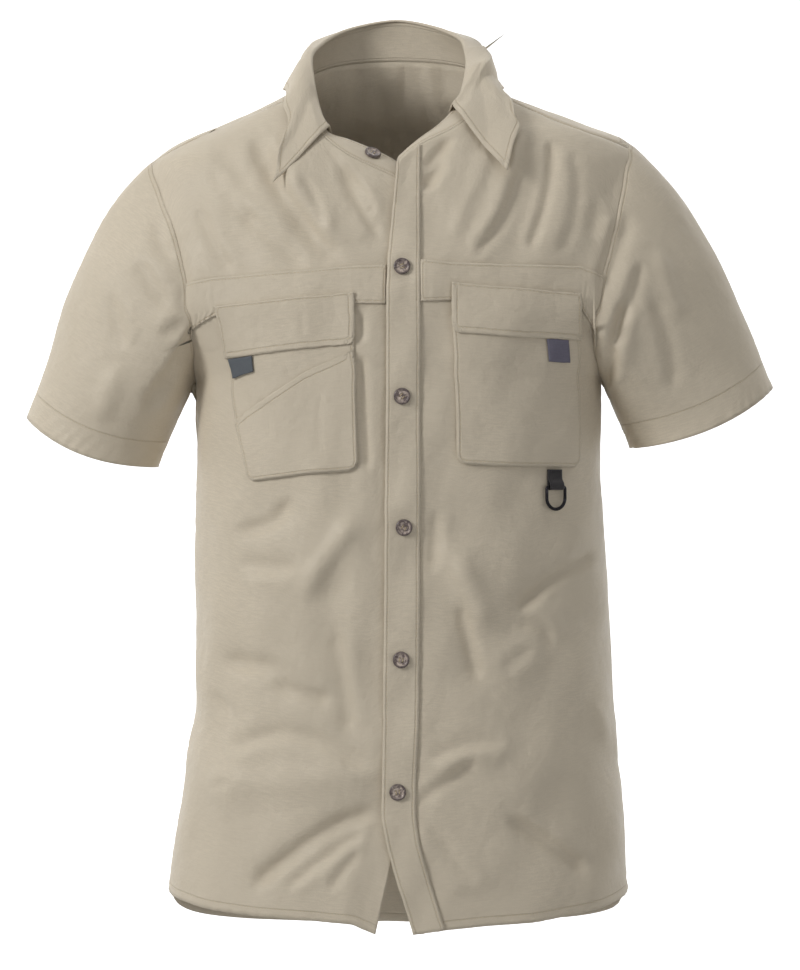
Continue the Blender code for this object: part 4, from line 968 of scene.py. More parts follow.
def neck_edge(fronts, yoke):
    """References to the grid points round the neck with their places, from the right front to the left front."""
    last = column_index(3)
    right, left = fronts["right"], fronts["left"]
    top, width = right.p.shape[0] - 1, right.p.shape[1] - 1
    cells = last // ACROSS
    end = 2 * cells + (yoke.p.shape[1] - 1) // BACK_ACROSS
    spots = [(right, top, width - i, i / ACROSS) for i in range(last)]
    spots += [(yoke, yoke.p.shape[0] - 1, i, cells + i / BACK_ACROSS) for i in range(yoke.p.shape[1])]
    spots += [(left, left.p.shape[0] - 1, i, end - i / ACROSS) for i in range(last - 1, -1, -1)]
    return spots


def collar_stand(spots):
    """The upright band of the collar, from the neck edge to the fold, and the place of each of its columns."""
    base = np.array([s.p[j, i] for s, j, i, _ in spots])
    place = np.array([spot[3] for spot in spots])
    table = np.array(STAND_TOP, float)
    top = np.stack([smooth(table[:, 0], table[:, k], place) for k in (1, 2, 3)], -1)
    share = (np.arange(STAND_ROWS + 1) / STAND_ROWS)[:, None, None]
    p = base * (1 - share) + top * share
    n = unit(np.cross(np.gradient(p, axis=0), np.gradient(p, axis=1)))
    p += n[STAND_ROWS // 2] * 1.5 * np.sin(share * math.pi)
    return Sheet(p, n).renew(), place


def collar_leaf(stand, place):
    """The falling leaf: its outer edge, the roll over the stand's top line and the inside of that roll."""
    inside = (place >= LEAF_FIRST) & (place <= LEAF_LAST)
    fold, fold_normal = stand.p[-1, inside], stand.n[-1, inside]
    upwards = unit(stand.p[-1, inside] - stand.p[-3, inside])
    table = np.array(LEAF_EDGE, float)
    angle, z, off = [smooth(table[:, 0], table[:, k], place[inside]) for k in (1, 2, 3)]
    angle = np.radians(angle)
    normal = surface_normal(angle, z)
    edge = surface(angle, z) + normal * off[:, None]
    out = unit((fold_normal + normal) * [1, 1, 0.3])
    rows = []
    for share in np.linspace(1, 0, LEAF_ROWS + 1):
        swell = smooth([0, 0.1, 0.28, 0.6, 1], [0, 2.2, 3.8, 3.0, 0], [share])[0]
        row = (fold + fold_normal * LAYER) * (1 - share) + edge * share + out * swell
        rows.append(clear_of_form(row, LEAF_CLEAR * min(1.0, share * 6)))
    for turn in np.radians([25, 50, 75, 100, 125, 150, 175]):
        rows.append(fold + LAYER * (fold_normal * math.cos(turn) + upwards * math.sin(turn)))
    p = np.array(rows)
    return Sheet(p, unit(np.cross(np.gradient(p, axis=0), np.gradient(p, axis=1)))).renew()


def ring_place():
    """Where the D-ring's bar lies: its centre, its direction along the cloth and the way out."""
    z = -365.0
    angle = float(angle_at(np.array(137.0), np.array(z)))
    point = ring_point(np.array(angle), np.array(z))
    along = unit((point - ring_point(np.array(angle - 0.05), np.array(z))) * [1, 1, 0])
    out = unit(np.cross(along, [0, 0, 1.0]))
    return point + out * (CLOTH / 2 + 0.6 + WEBBING + 0.35 + RING_WIRE_RADIUS), along, out


def calm(p):
    """How far creases may show at each point: they fade where a button or the webbing is sewn on."""
    share = np.ones(p.shape[:-1])
    spots = [(x, z, BUTTON_RADIUS * 1.5) for x, z in PLACKET_BUTTONS]
    centre = ring_place()[0]
    spots.append((centre[0], centre[2] + 6, 22.0))
    for x, z, reach in spots:
        away = np.hypot(p[..., 0] - x, p[..., 2] - z)
        share = share * np.where(p[..., 1] < 0, soft_step(away / reach - 0.6), 1)
    return share


def crumple(sheet, seed, seams, creased=1.0, scale=1.0):
    """Gives a sheet its listed creases and small uneven waves, which die out at the seams named."""
    sizes = bpy.context.scene.shirt_sizes
    far = sheet.to_edges()
    fade = calm(sheet.p)
    for edge in seams:
        fade = fade * soft_step(far[edge] / 9.0)
    x, y, z = sheet.p[..., 0], sheet.p[..., 1], sheet.p[..., 2]
    ahead = soft_step(-sheet.n[..., 1] * 3)
    behind = soft_step(sheet.n[..., 1] * 3)
    height = creased * (crease_heights(x, z, FRONT_CREASES) * ahead + crease_heights(x, z, BACK_CREASES) * behind)
    round_way = np.arctan2(x, -y) * 150.0
    height = height + ripples(round_way, z, seed, 62 * scale, 0.9, 1.6)
    height = height + crinkles(round_way + z * 0.3, z, seed + 1, 26 * scale, 0.42)
    sheet.moved(height * fade * sizes.creases)
    return sheet


def pull(sheet, edges, seed, wave=8.0, height=0.45, reach=9.0, slant=0.0):
    """Puckers along some of a sheet's edges."""
    strength = bpy.context.scene.shirt_sizes.puckers
    far = sheet.to_edges()
    total = np.zeros(sheet.p.shape[:2])
    for number, edge in enumerate(edges):
        p = np.concatenate([sheet.p, sheet.p[:, :1]], 1) if sheet.ring else sheet.p
        along = lengths(p, 1)[:, :sheet.p.shape[1]] if edge in ("bottom", "top") else lengths(p, 0)
        total += puckers(along, far[edge], seed + 7 * number, wave, height, reach, slant)
    return sheet.moved(total * strength)


@functools.lru_cache(maxsize=1)
def garment():
    """Every cloth sheet of the shirt by name, worked out once."""
    fronts = {side: front_panel(side) for side in SIDES}
    back = back_panel(fronts)
    yoke = yoke_panel(fronts, back)
    crumple(fronts["right"], 11, ("first", "top"))
    crumple(fronts["left"], 23, ("last", "top"))
    crumple(back, 31, ("first", "last", "top"))
    crumple(yoke, 47, EDGES, scale=0.8)
    for number, sheet in enumerate((fronts["right"], fronts["left"], back)):
        pull(sheet, ("bottom",), 60 + number, wave=13.0, height=0.7, reach=10.0, slant=0.8)
    sleeves, sheets = {}, {}
    for number, side in enumerate(SIDES):
        spots = armhole_edge(side, fronts, yoke, back)
        sleeves[side] = crumple(sleeve(side, spots), 71 + number, ("top",))
        pull(sleeves[side], ("bottom",), 80 + number, wave=12.0, height=0.6, reach=14.0, slant=0.6)
    stand, place = collar_stand(neck_edge(fronts, yoke))
    leaf = collar_leaf(stand, place)
    for side in SIDES:
        sheets[f"front_{side}"] = fronts[side]
        sheets[f"sleeve_{side}"] = sleeves[side]
        sheets.update(pieces_on_front(side, fronts[side]))
    left = fronts["left"]
    placket = left.part((0, left.p.shape[0] - 1), (0, column_index(1)), LAYER)
    sheets.update(back=back, yoke=yoke, collar_stand=stand, collar_leaf=leaf, placket=placket)
    far = leaf.to_edges()
    u = lengths(leaf.p, 1)
    leaf.moved(ripples(u, far["bottom"], 91, 55, 0.5) * soft_step(far["top"] / 25))
    pull(leaf, ("bottom",), 92, wave=9.0, height=0.2, reach=6.0)
    pull(placket, ("first", "last"), 93, wave=10.0, height=0.22, reach=7.0)
    return sheets


def swell(rows, columns, height):
    """How far a pocket's filled-out middle stands off, over its grid."""
    v = np.linspace(0, math.pi, rows)[:, None]
    u = np.linspace(0, math.pi, columns)[None, :]
    return height * np.sin(v) * np.sin(u)


def pieces_on_front(side, front):
    """Band, pocket, its cover and its flap on one front."""
    width = front.p.shape[1] - 1
    row = {name: row_index(side, name) for name in [r[0] for r in FRONT_ROWS[side]]}

    def columns(a, b):
        a, b = column_index(a), column_index(b)
        return (width - b, width - a) if side == "right" else (a, b)

    inner, outer = columns(2, 4)
    seed = 100 if side == "right" else 120
    band = front.part((row["band bottom"], row["band top"]), columns(1, 5), LAYER)
    pull(band, ("bottom",), seed, wave=6.5, height=0.55, reach=16.0)
    bottom, over = row["pocket bottom"], row["band bottom"]
    bulge = swell(over - bottom + 1, outer - inner + 1, 0.8)
    pocket = front.part((bottom, over), (inner, outer), LAYER + bulge)
    edge = row["opening"] if side == "right" else over
    cover = front.part((bottom, edge), (inner, outer), 2 * LAYER + bulge[:edge - bottom + 1])
    level = 2 if side == "right" else 3
    low, high = row["flap bottom"], row["flap top"]
    above = np.concatenate([bulge[low - bottom:], np.zeros((high - over, outer - inner + 1))])
    flap = front.part((low, high), (inner, outer), level * LAYER + above)
    for sheet in (pocket, cover, flap):
        far = sheet.to_edges()
        height = crease_heights(sheet.p[..., 0], sheet.p[..., 2], POCKET_CREASES)
        sheet.moved(height * soft_step(np.minimum.reduce(list(far.values())) / 5))
    corner = "last" if side == "right" else "first"
    pocket.drawn_in(0.3).rounded(9.0, (("bottom", "first"), ("bottom", "last")))
    cover.drawn_in(1.2).rounded(9.0, (("bottom", "first"), ("bottom", "last")))
    flap.drawn_in(0.1).rounded(7.0, (("bottom", corner),))
    pull(flap, ("top",), seed + 5, wave=6.5, height=0.4, reach=7.0)
    pull(cover, ("bottom", "first", "last"), seed + 9, wave=8.0, height=0.2, reach=5.0)
    first, last, hang = TABS[side]
    start, end = (outer - last * ACROSS, outer - first * ACROSS) if side == "right" else (
        inner + first * ACROSS, inner + last * ACROSS)
    cell = np.linalg.norm(front.p[low, int(start)] - front.p[low - 1, int(start)])
    rows, places = np.meshgrid(np.linspace(low - hang / cell, low - 0.2, 13), np.linspace(start, end, 15),
                               indexing="ij")
    p, n = front.at(rows, places)
    tab = Sheet(p + n * (level * LAYER + 0.7), n)
    return {f"band_{side}": band, f"pocket_{side}": pocket, f"pocket_{side}_cover": cover, f"flap_{side}": flap,
            f"tab_{side}": tab}


def shown(red, green, blue):
    """A colour given as its displayed red, green and blue, for a colour property."""
    return tuple(((c / 255 + 0.055) / 1.055) ** 2.4 for c in (red, green, blue)) + (1.0,)


def tinted(colour, factor):
    return tuple(min(1.0, c * factor) for c in colour[:3]) + (1.0,)


class Nodes:
    """Short ways to add and join the nodes of one material."""

    def __init__(self, name):
        self.material = bpy.data.materials.new(name)
        self.material.use_nodes = True
        self.tree = self.material.node_tree
        self.shader = self.tree.nodes["Principled BSDF"]

    def add(self, kind, inputs=(), **settings):
        node = self.tree.nodes.new(kind)
        for key, value in settings.items():
            setattr(node, key, value)
        for key, value in dict(inputs).items():
            if isinstance(value, bpy.types.NodeSocket):
                self.tree.links.new(value, node.inputs[key])
            else:
                node.inputs[key].default_value = value
        return node

    def noise(self, place, scale, detail=3.0, roughness=0.55, distortion=0.0):
        return self.add("ShaderNodeTexNoise", {"Vector": place, "Scale": scale, "Detail": detail,
                                               "Roughness": roughness, "Distortion": distortion}).outputs["Fac"]

    def math(self, kind, a, b=0.0):
        return self.add("ShaderNodeMath", {0: a, 1: b}, operation=kind).outputs[0]

    def mix(self, share, a, b):
        node = self.add("ShaderNodeMix", data_type="RGBA")
        for key, value in ((0, share), (6, a), (7, b)):
            if isinstance(value, bpy.types.NodeSocket):
                self.tree.links.new(value, node.inputs[key])
            else:
                node.inputs[key].default_value = value
        return node.outputs[2]

    def spread(self, value, low, high, to_low=0.0, to_high=1.0):
        node = self.add("ShaderNodeMapRange", {0: value, 1: low, 2: high, 3: to_low, 4: to_high},
                        interpolation_type="SMOOTHSTEP")
        return node.outputs[0]

    def bump(self, height, strength, distance, normal=None):
        inputs = {"Height": height, "Strength": strength, "Distance": distance}
        if normal is not None:
            inputs["Normal"] = normal
        return self.add("ShaderNodeBump", inputs).outputs["Normal"]

    def weave(self, place, period):
        """Threads that cross: height of a plain weave with this period in metres, on a UV map in metres."""
        threads = [self.add("ShaderNodeTexWave", {"Vector": place, "Scale": 0.314 / period, "Distortion": 0.0},
                            wave_type="BANDS", bands_direction=way).outputs["Fac"] for way in "XY"]
        return self.math("MAXIMUM", *threads)

    def finish(self, colour, roughness, normal, **constants):
        for key, value in (("Base Color", colour), ("Roughness", roughness), ("Normal", normal)):
            if isinstance(value, bpy.types.NodeSocket):
                self.tree.links.new(value, self.shader.inputs[key])
            else:
                self.shader.inputs[key].default_value = value
        for key, value in constants.items():
            self.shader.inputs[key.replace("_", " ")].default_value = value
        return self.material


def cloth_material(name, colour, thread=0.00055, sheen=0.25):
    """Light plain-woven cloth: uneven tone, slubs, fine weave, tiny crinkles, and sunk stitch lines with painted
    shade along them.
    """
    m = Nodes(name)
    place = m.add("ShaderNodeTexCoord").outputs["UV"]
    body = m.add("ShaderNodeTexCoord").outputs["Object"]
    seam = m.add("ShaderNodeAttribute", attribute_name="seam").outputs["Fac"]
    broad = m.noise(body, 9.0, 3.0)
    fine = m.noise(place, 900.0, 2.0, 0.7)
    slub = m.noise(m.add("ShaderNodeMapping", {"Vector": place, "Scale": (90.0, 700.0, 1.0)}).outputs[0], 1.0, 2.0)
    tone = m.mix(m.spread(broad, 0.35, 0.65), tinted(colour, 0.95), tinted(colour, 1.03))
    tone = m.mix(m.spread(m.math("ADD", m.math("MULTIPLY", fine, 0.5), m.math("MULTIPLY", slub, 0.5)), 0.4, 0.62),
                 tinted(colour, 0.93), tone)
    # Painted shade: the cloth's colour is darkened towards each stitch line, standing in for the shade in its groove.
    # The same mask sinks the line in the bump.
    line = m.spread(m.math("ABSOLUTE", seam), 0.2, 1.1, 1.0, 0.0)
    tone = m.mix(m.math("MULTIPLY", line, 0.28), tone, tinted(colour, 0.72))
    crinkle = m.noise(place, 95.0, 2.0, 0.6)
    normal = m.bump(crinkle, 0.32, 0.0022)
    normal = m.bump(m.math("MULTIPLY", line, -1.0), 0.6, 0.0006, normal)
    normal = m.bump(m.weave(place, thread), 0.25, 0.00012, normal)
    rough = m.spread(m.noise(body, 40.0, 2.0), 0.3, 0.7, 0.52, 0.66)
    return m.finish(tone, rough, normal, Sheen_Weight=sheen, Sheen_Roughness=0.38,
                    Sheen_Tint=(1.0, 0.96, 0.88, 1.0), Specular_IOR_Level=0.32)


def thread_material(name, colour):
    """Sewing thread: two plies twisted round each other."""
    m = Nodes(name)
    body = m.add("ShaderNodeTexCoord").outputs["Object"]
    twist = m.add("ShaderNodeTexWave", {"Vector": body, "Scale": 420.0, "Distortion": 1.0},
                  bands_direction="DIAGONAL").outputs["Fac"]
    tone = m.mix(twist, tinted(colour, 0.86), tinted(colour, 1.05))
    return m.finish(tone, 0.5, m.bump(twist, 0.4, 0.0001), Sheen_Weight=0.15)


def horn_material(name, colour):
    """Button resin in a marbled horn look, darker at the rim, with a low polish."""
    m = Nodes(name)
    body = m.add("ShaderNodeTexCoord").outputs["Object"]
    rim = m.add("ShaderNodeAttribute", attribute_name="rim").outputs["Fac"]
    cloud = m.noise(body, 160.0, 4.0, 0.6, 1.6)
    tone = m.mix(m.spread(cloud, 0.38, 0.62), tinted(colour, 0.5), tinted((0.60, 0.50, 0.42), 1.0))
    tone = m.mix(m.math("MULTIPLY", rim, 0.85), tone, tinted(colour, 0.32))
    rough = m.spread(cloud, 0.3, 0.7, 0.24, 0.36)
    return m.finish(tone, rough, m.bump(m.noise(body, 900.0, 2.0), 0.08, 0.0001), Coat_Weight=0.25,
                    Coat_Roughness=0.15)


def webbing_material(name, colour):
    """Flat webbing: a fine herringbone of ribs along the strip."""
    m = Nodes(name)
    place = m.add("ShaderNodeTexCoord").outputs["UV"]
    ribs = m.weave(place, 0.0011)
    tone = m.mix(ribs, tinted(colour, 0.6), tinted(colour, 1.5))
    return m.finish(tone, 0.78, m.bump(ribs, 0.6, 0.0003), Sheen_Weight=0.2, Sheen_Roughness=0.5)


def metal_material(name, colour):
    """Dark painted wire with painted highlights: brighter and glossier in places."""
    m = Nodes(name)
    body = m.add("ShaderNodeTexCoord").outputs["Object"]
    # Painted highlight: in noise spots the wire's colour is brightened up to 3.2 times and its roughness lowered,
    # standing in for light on the ring.
    painted_highlight = m.spread(m.noise(body, 240.0, 4.0, 0.65), 0.52, 0.7)
    tone = m.mix(painted_highlight, tuple(colour), tinted(colour, 3.2))
    return m.finish(tone, m.spread(painted_highlight, 0.0, 1.0, 0.42, 0.26), m.bump(m.noise(body, 700.0, 2.0), 0.1, 0.0001),
                    Metallic=0.7)


def backdrop_material():
    m = Nodes("backdrop paper")
    place = m.add("ShaderNodeTexCoord").outputs["Object"]
    grain = m.noise(place, 60.0, 2.0)
    tone = m.mix(grain, (0.5, 0.5, 0.5, 1.0), (0.52, 0.52, 0.52, 1.0))
    behind = m.add("ShaderNodeSeparateXYZ", {"Vector": place}).outputs["Y"]
    m.tree.links.new(m.spread(behind, 0.8, 2.4, 0.0, 0.97), m.shader.inputs["Emission Strength"])
    return m.finish(tone, 0.9, m.bump(grain, 0.02, 0.001), Emission_Color=(1.0, 1.0, 1.0, 1.0))


@functools.lru_cache(maxsize=1)
def finishes():
    """Every material by name, made once from the colour properties."""
    c = bpy.context.scene.shirt_colours
    return {
        "cloth": cloth_material("shirt cloth", c.cloth),
        "tab_right": cloth_material("tab grey", c.tab_grey, 0.0007, 0.1),
        "tab_left": cloth_material("tab slate", c.tab_slate, 0.0007, 0.1),
        "thread": thread_material("sewing thread", c.thread),
        "button": horn_material("button horn", c.button),
        "webbing": webbing_material("black webbing", c.webbing),
        "ring": metal_material("ring metal", c.ring),
    }


def seam_values(sheet, insets):
    """Distance in millimetres of each point from the nearest stitch line that runs beside an edge."""
    far = sheet.to_edges()
    best = np.full(sheet.p.shape[:2], 50.0)
    for edge, inset in insets:
        here = far[edge] - inset
        best = np.where(np.abs(here) < np.abs(best), here, best)
    return best


def lay(name, thickness, cut, material="cloth"):
    """One cloth piece: its sheet as a mesh with a UV map in metres, thickened, in its node's place."""
    sheet = garment()[name]
    p = sheet.p * MM
    rows, columns = p.shape[:2]
    closed = np.concatenate([p, p[:, :1]], 1) if sheet.ring else p
    u, v = lengths(closed, 1), lengths(closed, 0)
    u = u - u[:, u.shape[1] // 2][:, None]
    span = columns if sheet.ring else columns - 1
    j, i = np.meshgrid(np.arange(rows - 1), np.arange(span), indexing="ij")
    k = (i + 1) % columns
    quads = np.stack([j * columns + i, j * columns + k, (j + 1) * columns + k, (j + 1) * columns + i], -1)
    corners = [(j, i), (j, i + 1), (j + 1, i + 1), (j + 1, i)]
    uv = np.stack([np.stack([u[c], v[c]], -1) for c in corners], 2)
    facing = np.cross(closed[1, 1] - closed[1, 0], closed[2, 0] - closed[1, 0])
    if np.dot(facing, sheet.n[1, 0]) < 0:
        quads, uv = quads[..., ::-1], uv[:, :, ::-1]
    mesh = bpy.data.meshes.new(name + "_cloth")
    mesh.from_pydata(p.reshape(-1, 3).tolist(), [], quads.reshape(-1, 4).tolist())
    mesh.uv_layers.new(name="UVMap").uv.foreach_set("vector", uv.reshape(-1).astype(np.float32))
    seam = mesh.attributes.new("seam", "FLOAT", "POINT")
    insets = [(edge, inset) for piece, edge, inset in STITCH_LINES if piece == name]
    seam.data.foreach_set("value", seam_values(sheet, insets).reshape(-1).astype(np.float32))
    mesh.materials.append(finishes()[material])
    mesh.shade_smooth()
    obj = bpy.data.objects.new(name + "_cloth", mesh)
    bpy.context.scene.collection.objects.link(obj)
    shell = obj.modifiers.new("thickness", "SOLIDIFY")
    shell.thickness = thickness
    shell.offset = 0.0
    shell.use_even_offset = True
    select_only(obj)
    bpy.ops.object.modifier_apply(modifier=shell.name)
    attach(obj, "shirt")
    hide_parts(name)
    width, length = cut
    min(sheet.area(), width * length)
    return obj


def select_only(*objs):
    """Everything deselected, then these selected, the first one active."""
    for other in bpy.context.view_layer.objects:
        other.select_set(False)
    for obj in objs:
        obj.select_set(True)
    bpy.context.view_layer.objects.active = objs[0]


def clean_faces(obj):
    """Doubles merged and faces turned outwards, by the edit operators."""
    select_only(obj)
    bpy.ops.object.mode_set(mode="EDIT")
    bpy.ops.mesh.select_all(action="SELECT")
    bpy.ops.mesh.remove_doubles(threshold=0.00001)
    bpy.ops.mesh.normals_make_consistent(inside=False)
    bpy.ops.object.mode_set(mode="OBJECT")


def stitch_shape():
    """One stitch: a thin rounded grain along X with its ends pressed down, one unit long."""
    bpy.ops.mesh.primitive_uv_sphere_add(segments=6, ring_count=4, radius=0.5)
    grain = bpy.context.active_object
    select_only(grain)
    bpy.ops.transform.rotate(value=math.pi / 2, orient_axis="Y", center_override=(0, 0, 0))
    bpy.ops.object.transform_apply(location=False, rotation=True, scale=False)
    points = np.array([v.co[:] for v in grain.data.vertices])
    faces = [list(f.vertices) for f in grain.data.polygons]
    points[:, 2] -= 0.5 * (np.abs(points[:, 0]) * 2) ** 3 * 0.8
    bpy.data.objects.remove(grain)
    return points, faces


def stitch_row(sheet, edge, inset, first=0.0, last=1.0, lift=0.0):
    """Centre, direction and normal of each stitch on a line that runs beside an edge of a sheet."""
    sizes = bpy.context.scene.shirt_sizes
    far = sheet.to_edges()[edge]
    rows, columns = far.shape
    if edge in ("bottom", "top"):
        spots = np.arange(columns)
        order = np.arange(rows) if edge == "bottom" else np.arange(rows)[::-1]
        row = np.array([np.interp(inset, far[order, i], order) for i in spots])
        p, n = sheet.at(row, spots)
        if sheet.ring:
            p, n = np.concatenate([p, p[:1]]), np.concatenate([n, n[:1]])
    else:
        spots = np.arange(rows)
        order = np.arange(columns) if edge == "first" else np.arange(columns)[::-1]
        column = np.array([np.interp(inset, far[j, order], order) for j in spots])
        p, n = sheet.at(spots, column)
    along = np.concatenate([[0], np.cumsum(np.linalg.norm(np.diff(p, axis=0), axis=1))])
    pitch = (sizes.stitch_length + sizes.stitch_gap) / MM
    start, end = first * along[-1] + inset * (not sheet.ring), last * along[-1] - inset * (not sheet.ring)
    count = int((end - start) / pitch)
    if count < 1:
        return []
    at = start + (np.arange(count) + 0.5) * (end - start) / count
    half = sizes.stitch_length / MM / 2

    def read(grid, where):
        return np.stack([np.interp(where, along, grid[:, k]) for k in range(3)], -1)

    centre, normal = read(p, at), unit(read(n, at))
    ahead = unit(read(p, at + half) - read(p, at - half))
    return list(zip(centre + normal * lift, ahead, normal))


def sew(name, rows, material="thread", length=None, radius=None):
    """One object from rows of stitches, each a copy of the same grain."""
    sizes = bpy.context.scene.shirt_sizes
    shape, faces = stitch_shape()
    length = length or sizes.stitch_length
    radius = radius or sizes.stitch_radius
    size = np.array([length, 2 * radius, 2 * radius])
    points, quads = [], []
    for centre, ahead, normal in rows:
        aside = unit(np.cross(normal, ahead))
        turn = np.stack([ahead, aside, unit(np.cross(ahead, aside))])
        under = len(points) * len(shape)
        points.append((shape * size) @ turn + centre * MM)
        quads += [[under + k for k in face] for face in faces]
    mesh = bpy.data.meshes.new(name)
    mesh.from_pydata(np.concatenate(points).tolist(), [], quads)
    mesh.materials.append(finishes()[material])
    mesh.shade_smooth()
    obj = bpy.data.objects.new(name, mesh)
    bpy.context.scene.collection.objects.link(obj)
    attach(obj, "shirt")
    return obj


def button_model(radius, thickness):
    """A four-hole button: a turned disc with a raised rim and a dished middle, drilled, lying on the XY plane."""
    bpy.ops.mesh.primitive_cylinder_add(vertices=48, radius=radius * 0.96, depth=thickness * 0.62,
                                        location=(0, 0, thickness * 0.31))
    disc = bpy.context.active_object
    select_only(disc)
    bpy.ops.object.transform_apply(location=True, rotation=True, scale=True)
    disc.data.name = disc.name = "button_model"
    bpy.ops.object.mode_set(mode="EDIT")
    bpy.ops.mesh.select_mode(type="FACE")

    def select_top():
        bm = bmesh.from_edit_mesh(disc.data)
        for face in bm.faces:
            face.select_set(face.normal.z > 0.9 and len(face.verts) > 8)
        bmesh.update_edit_mesh(disc.data)

    select_top()
    for inset, rise in ((radius * 0.05, thickness * 0.26), (radius * 0.05, thickness * 0.12),
                        (radius * 0.14, 0.0), (radius * 0.08, -thickness * 0.3), (radius * 0.12, -thickness * 0.06)):
        bpy.ops.mesh.inset(thickness=inset, depth=rise)
    bpy.ops.object.mode_set(mode="OBJECT")
    soft = disc.modifiers.new("soft edges", "BEVEL")
    soft.width = radius * 0.035
    soft.segments = 2
    soft.limit_method = "ANGLE"
    soft.angle_limit = math.radians(28)
    bpy.ops.object.modifier_apply(modifier=soft.name)
    for x, y in ((1, 1), (1, -1), (-1, 1), (-1, -1)):
        bpy.ops.mesh.primitive_cylinder_add(vertices=16, radius=radius * 0.115, depth=thickness * 3,
                                            location=(x * radius * 0.19, y * radius * 0.19, 0))
        drill = bpy.context.active_object
        select_only(disc)
        cut = disc.modifiers.new("drill", "BOOLEAN")
        cut.object = drill
        cut.solver = "EXACT"
        bpy.ops.object.modifier_apply(modifier=cut.name)
        bpy.data.objects.remove(drill)
    clean_faces(disc)
    return disc


def button_copy(model, name, node, point, normal, up, turn):
    """A copy of the button in its place, with two bars of thread through its holes, joined as one piece."""
    radius = bpy.context.scene.shirt_sizes.button_radius
    mesh = model.data.copy()
    mesh.name = name
    rim = mesh.attributes.new("rim", "FLOAT", "POINT")
    away = [math.hypot(v.co.x, v.co.y) / radius for v in mesh.vertices]
    rim.data.foreach_set("value", [min(1.0, max(0.0, (a - 0.66) / 0.14)) for a in away])
    obj = bpy.data.objects.new(name, mesh)
    bpy.context.scene.collection.objects.link(obj)
    mesh.materials.clear()
    mesh.materials.append(finishes()["button"])
    mesh.materials.append(finishes()["thread"])
    bars = []
    for y in (-0.19, 0.19):
        bpy.ops.mesh.primitive_uv_sphere_add(segments=10, ring_count=8, radius=1.0)
        bar = bpy.context.active_object
        select_only(bar)
        bpy.ops.transform.resize(value=(radius * 0.27, radius * 0.055, radius * 0.045))
        bpy.ops.transform.translate(value=(0, y * radius, BUTTON_THICKNESS * MM * 0.66))
        bpy.ops.object.transform_apply(location=True, rotation=True, scale=True)
        bar.data.materials.append(finishes()["thread"])
        bpy.ops.object.shade_smooth()
        bars.append(bar)
    select_only(obj, *bars)
    bpy.ops.object.join()
    select_only(obj)
    bpy.ops.object.shade_smooth_by_angle(angle=math.radians(35))
    across = unit(np.cross(up, normal))
    axes = np.stack([across, unit(np.cross(normal, across)), normal])
    spin = np.array([[math.cos(turn), math.sin(turn), 0], [-math.sin(turn), math.cos(turn), 0], [0, 0, 1]])
    place = Matrix((spin @ axes).tolist()).transposed().to_4x4()
    place.translation = Vector(point * MM)
    obj.data.transform(place)
    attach(obj, "shirt")
    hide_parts(node)
    return obj


def nearest(sheet, x, z):
    """Point and normal of a sheet where it is seen at this x and height."""
    away = np.hypot(sheet.p[..., 0] - x, sheet.p[..., 2] - z)
    j, i = np.unravel_index(np.argmin(away), away.shape)
    return sheet.p[j, i] + np.array([x - sheet.p[j, i, 0], 0, z - sheet.p[j, i, 2]]), sheet.n[j, i]


class SHIRT_PG_sizes(bpy.types.PropertyGroup):
    """Sizes that a user may change"""

    cloth: FloatProperty(name="Cloth", description="Thickness of the single cloth", default=0.0007, min=0.0002,
                         max=0.0012, precision=5, unit="LENGTH")
    doubled: FloatProperty(name="Doubled cloth", description="Thickness of collar, placket and flaps",
                           default=0.0011, min=0.0004, max=0.0014, precision=5, unit="LENGTH")
    creases: FloatProperty(name="Creases", description="Strength of the creases and small waves", default=1.0,
                           min=0.0, max=2.0)
    puckers: FloatProperty(name="Puckers", description="Strength of the puckers beside the seams", default=1.0,
                           min=0.0, max=2.0)
    stitch_length: FloatProperty(name="Stitch length", description="Length of one stitch on the surface",
                                 default=0.0026, min=0.001, max=0.006, precision=5, unit="LENGTH")
    stitch_gap: FloatProperty(name="Stitch gap", description="Clear way between two stitches", default=0.0006,
                              min=0.0002, max=0.003, precision=5, unit="LENGTH")
    stitch_radius: FloatProperty(name="Stitch radius", description="Half the thickness of the thread",
                                 default=0.00024, min=0.0001, max=0.0006, precision=6, unit="LENGTH")
    button_radius: FloatProperty(name="Button radius", description="Half the width of a button",
                                 default=(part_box("button_1")[1][0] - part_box("button_1")[0][0]) / 2 * 0.97,
                                 min=0.004, max=0.012, precision=5, unit="LENGTH")


class SHIRT_PG_colours(bpy.types.PropertyGroup):
    """Colours that a user may change"""

    cloth: FloatVectorProperty(name="Cloth", description="Main cloth", subtype="COLOR", size=4, min=0, max=1,
                               default=shown(212, 200, 179))
    thread: FloatVectorProperty(name="Thread", description="Sewing thread", subtype="COLOR", size=4, min=0, max=1,
                                default=shown(205, 186, 152))
    button: FloatVectorProperty(name="Buttons", description="Marbled button resin", subtype="COLOR", size=4, min=0,
                                max=1, default=shown(150, 132, 130))
    webbing: FloatVectorProperty(name="Webbing", description="Webbing loop", subtype="COLOR", size=4, min=0, max=1,
                                 default=shown(40, 37, 39))
    ring: FloatVectorProperty(name="Ring", description="D-ring", subtype="COLOR", size=4, min=0, max=1,
                              default=shown(38, 36, 40))
    tab_grey: FloatVectorProperty(name="Grey tab", description="Tab at the wearer's right pocket", subtype="COLOR",
                                  size=4, min=0, max=1, default=shown(96, 101, 106))
    tab_slate: FloatVectorProperty(name="Slate tab", description="Tab at the wearer's left pocket", subtype="COLOR",
                                   size=4, min=0, max=1, default=shown(112, 109, 124))


class SHIRT_OT_body(bpy.types.Operator):
    """Lays the fronts, the back and the yoke, with their creases"""

    bl_idname = "shirt.body"
    bl_label = "Body panels"

    def execute(self, context):
        cloth = context.scene.shirt_sizes.cloth
        for name, cut in (("front_right", (0.30, 0.76)), ("front_left", (0.30, 0.76)), ("back", (0.48, 0.72)),
                          ("yoke", (0.50, 0.20))):
            lay(name, cloth, cut)
        return {"FINISHED"}


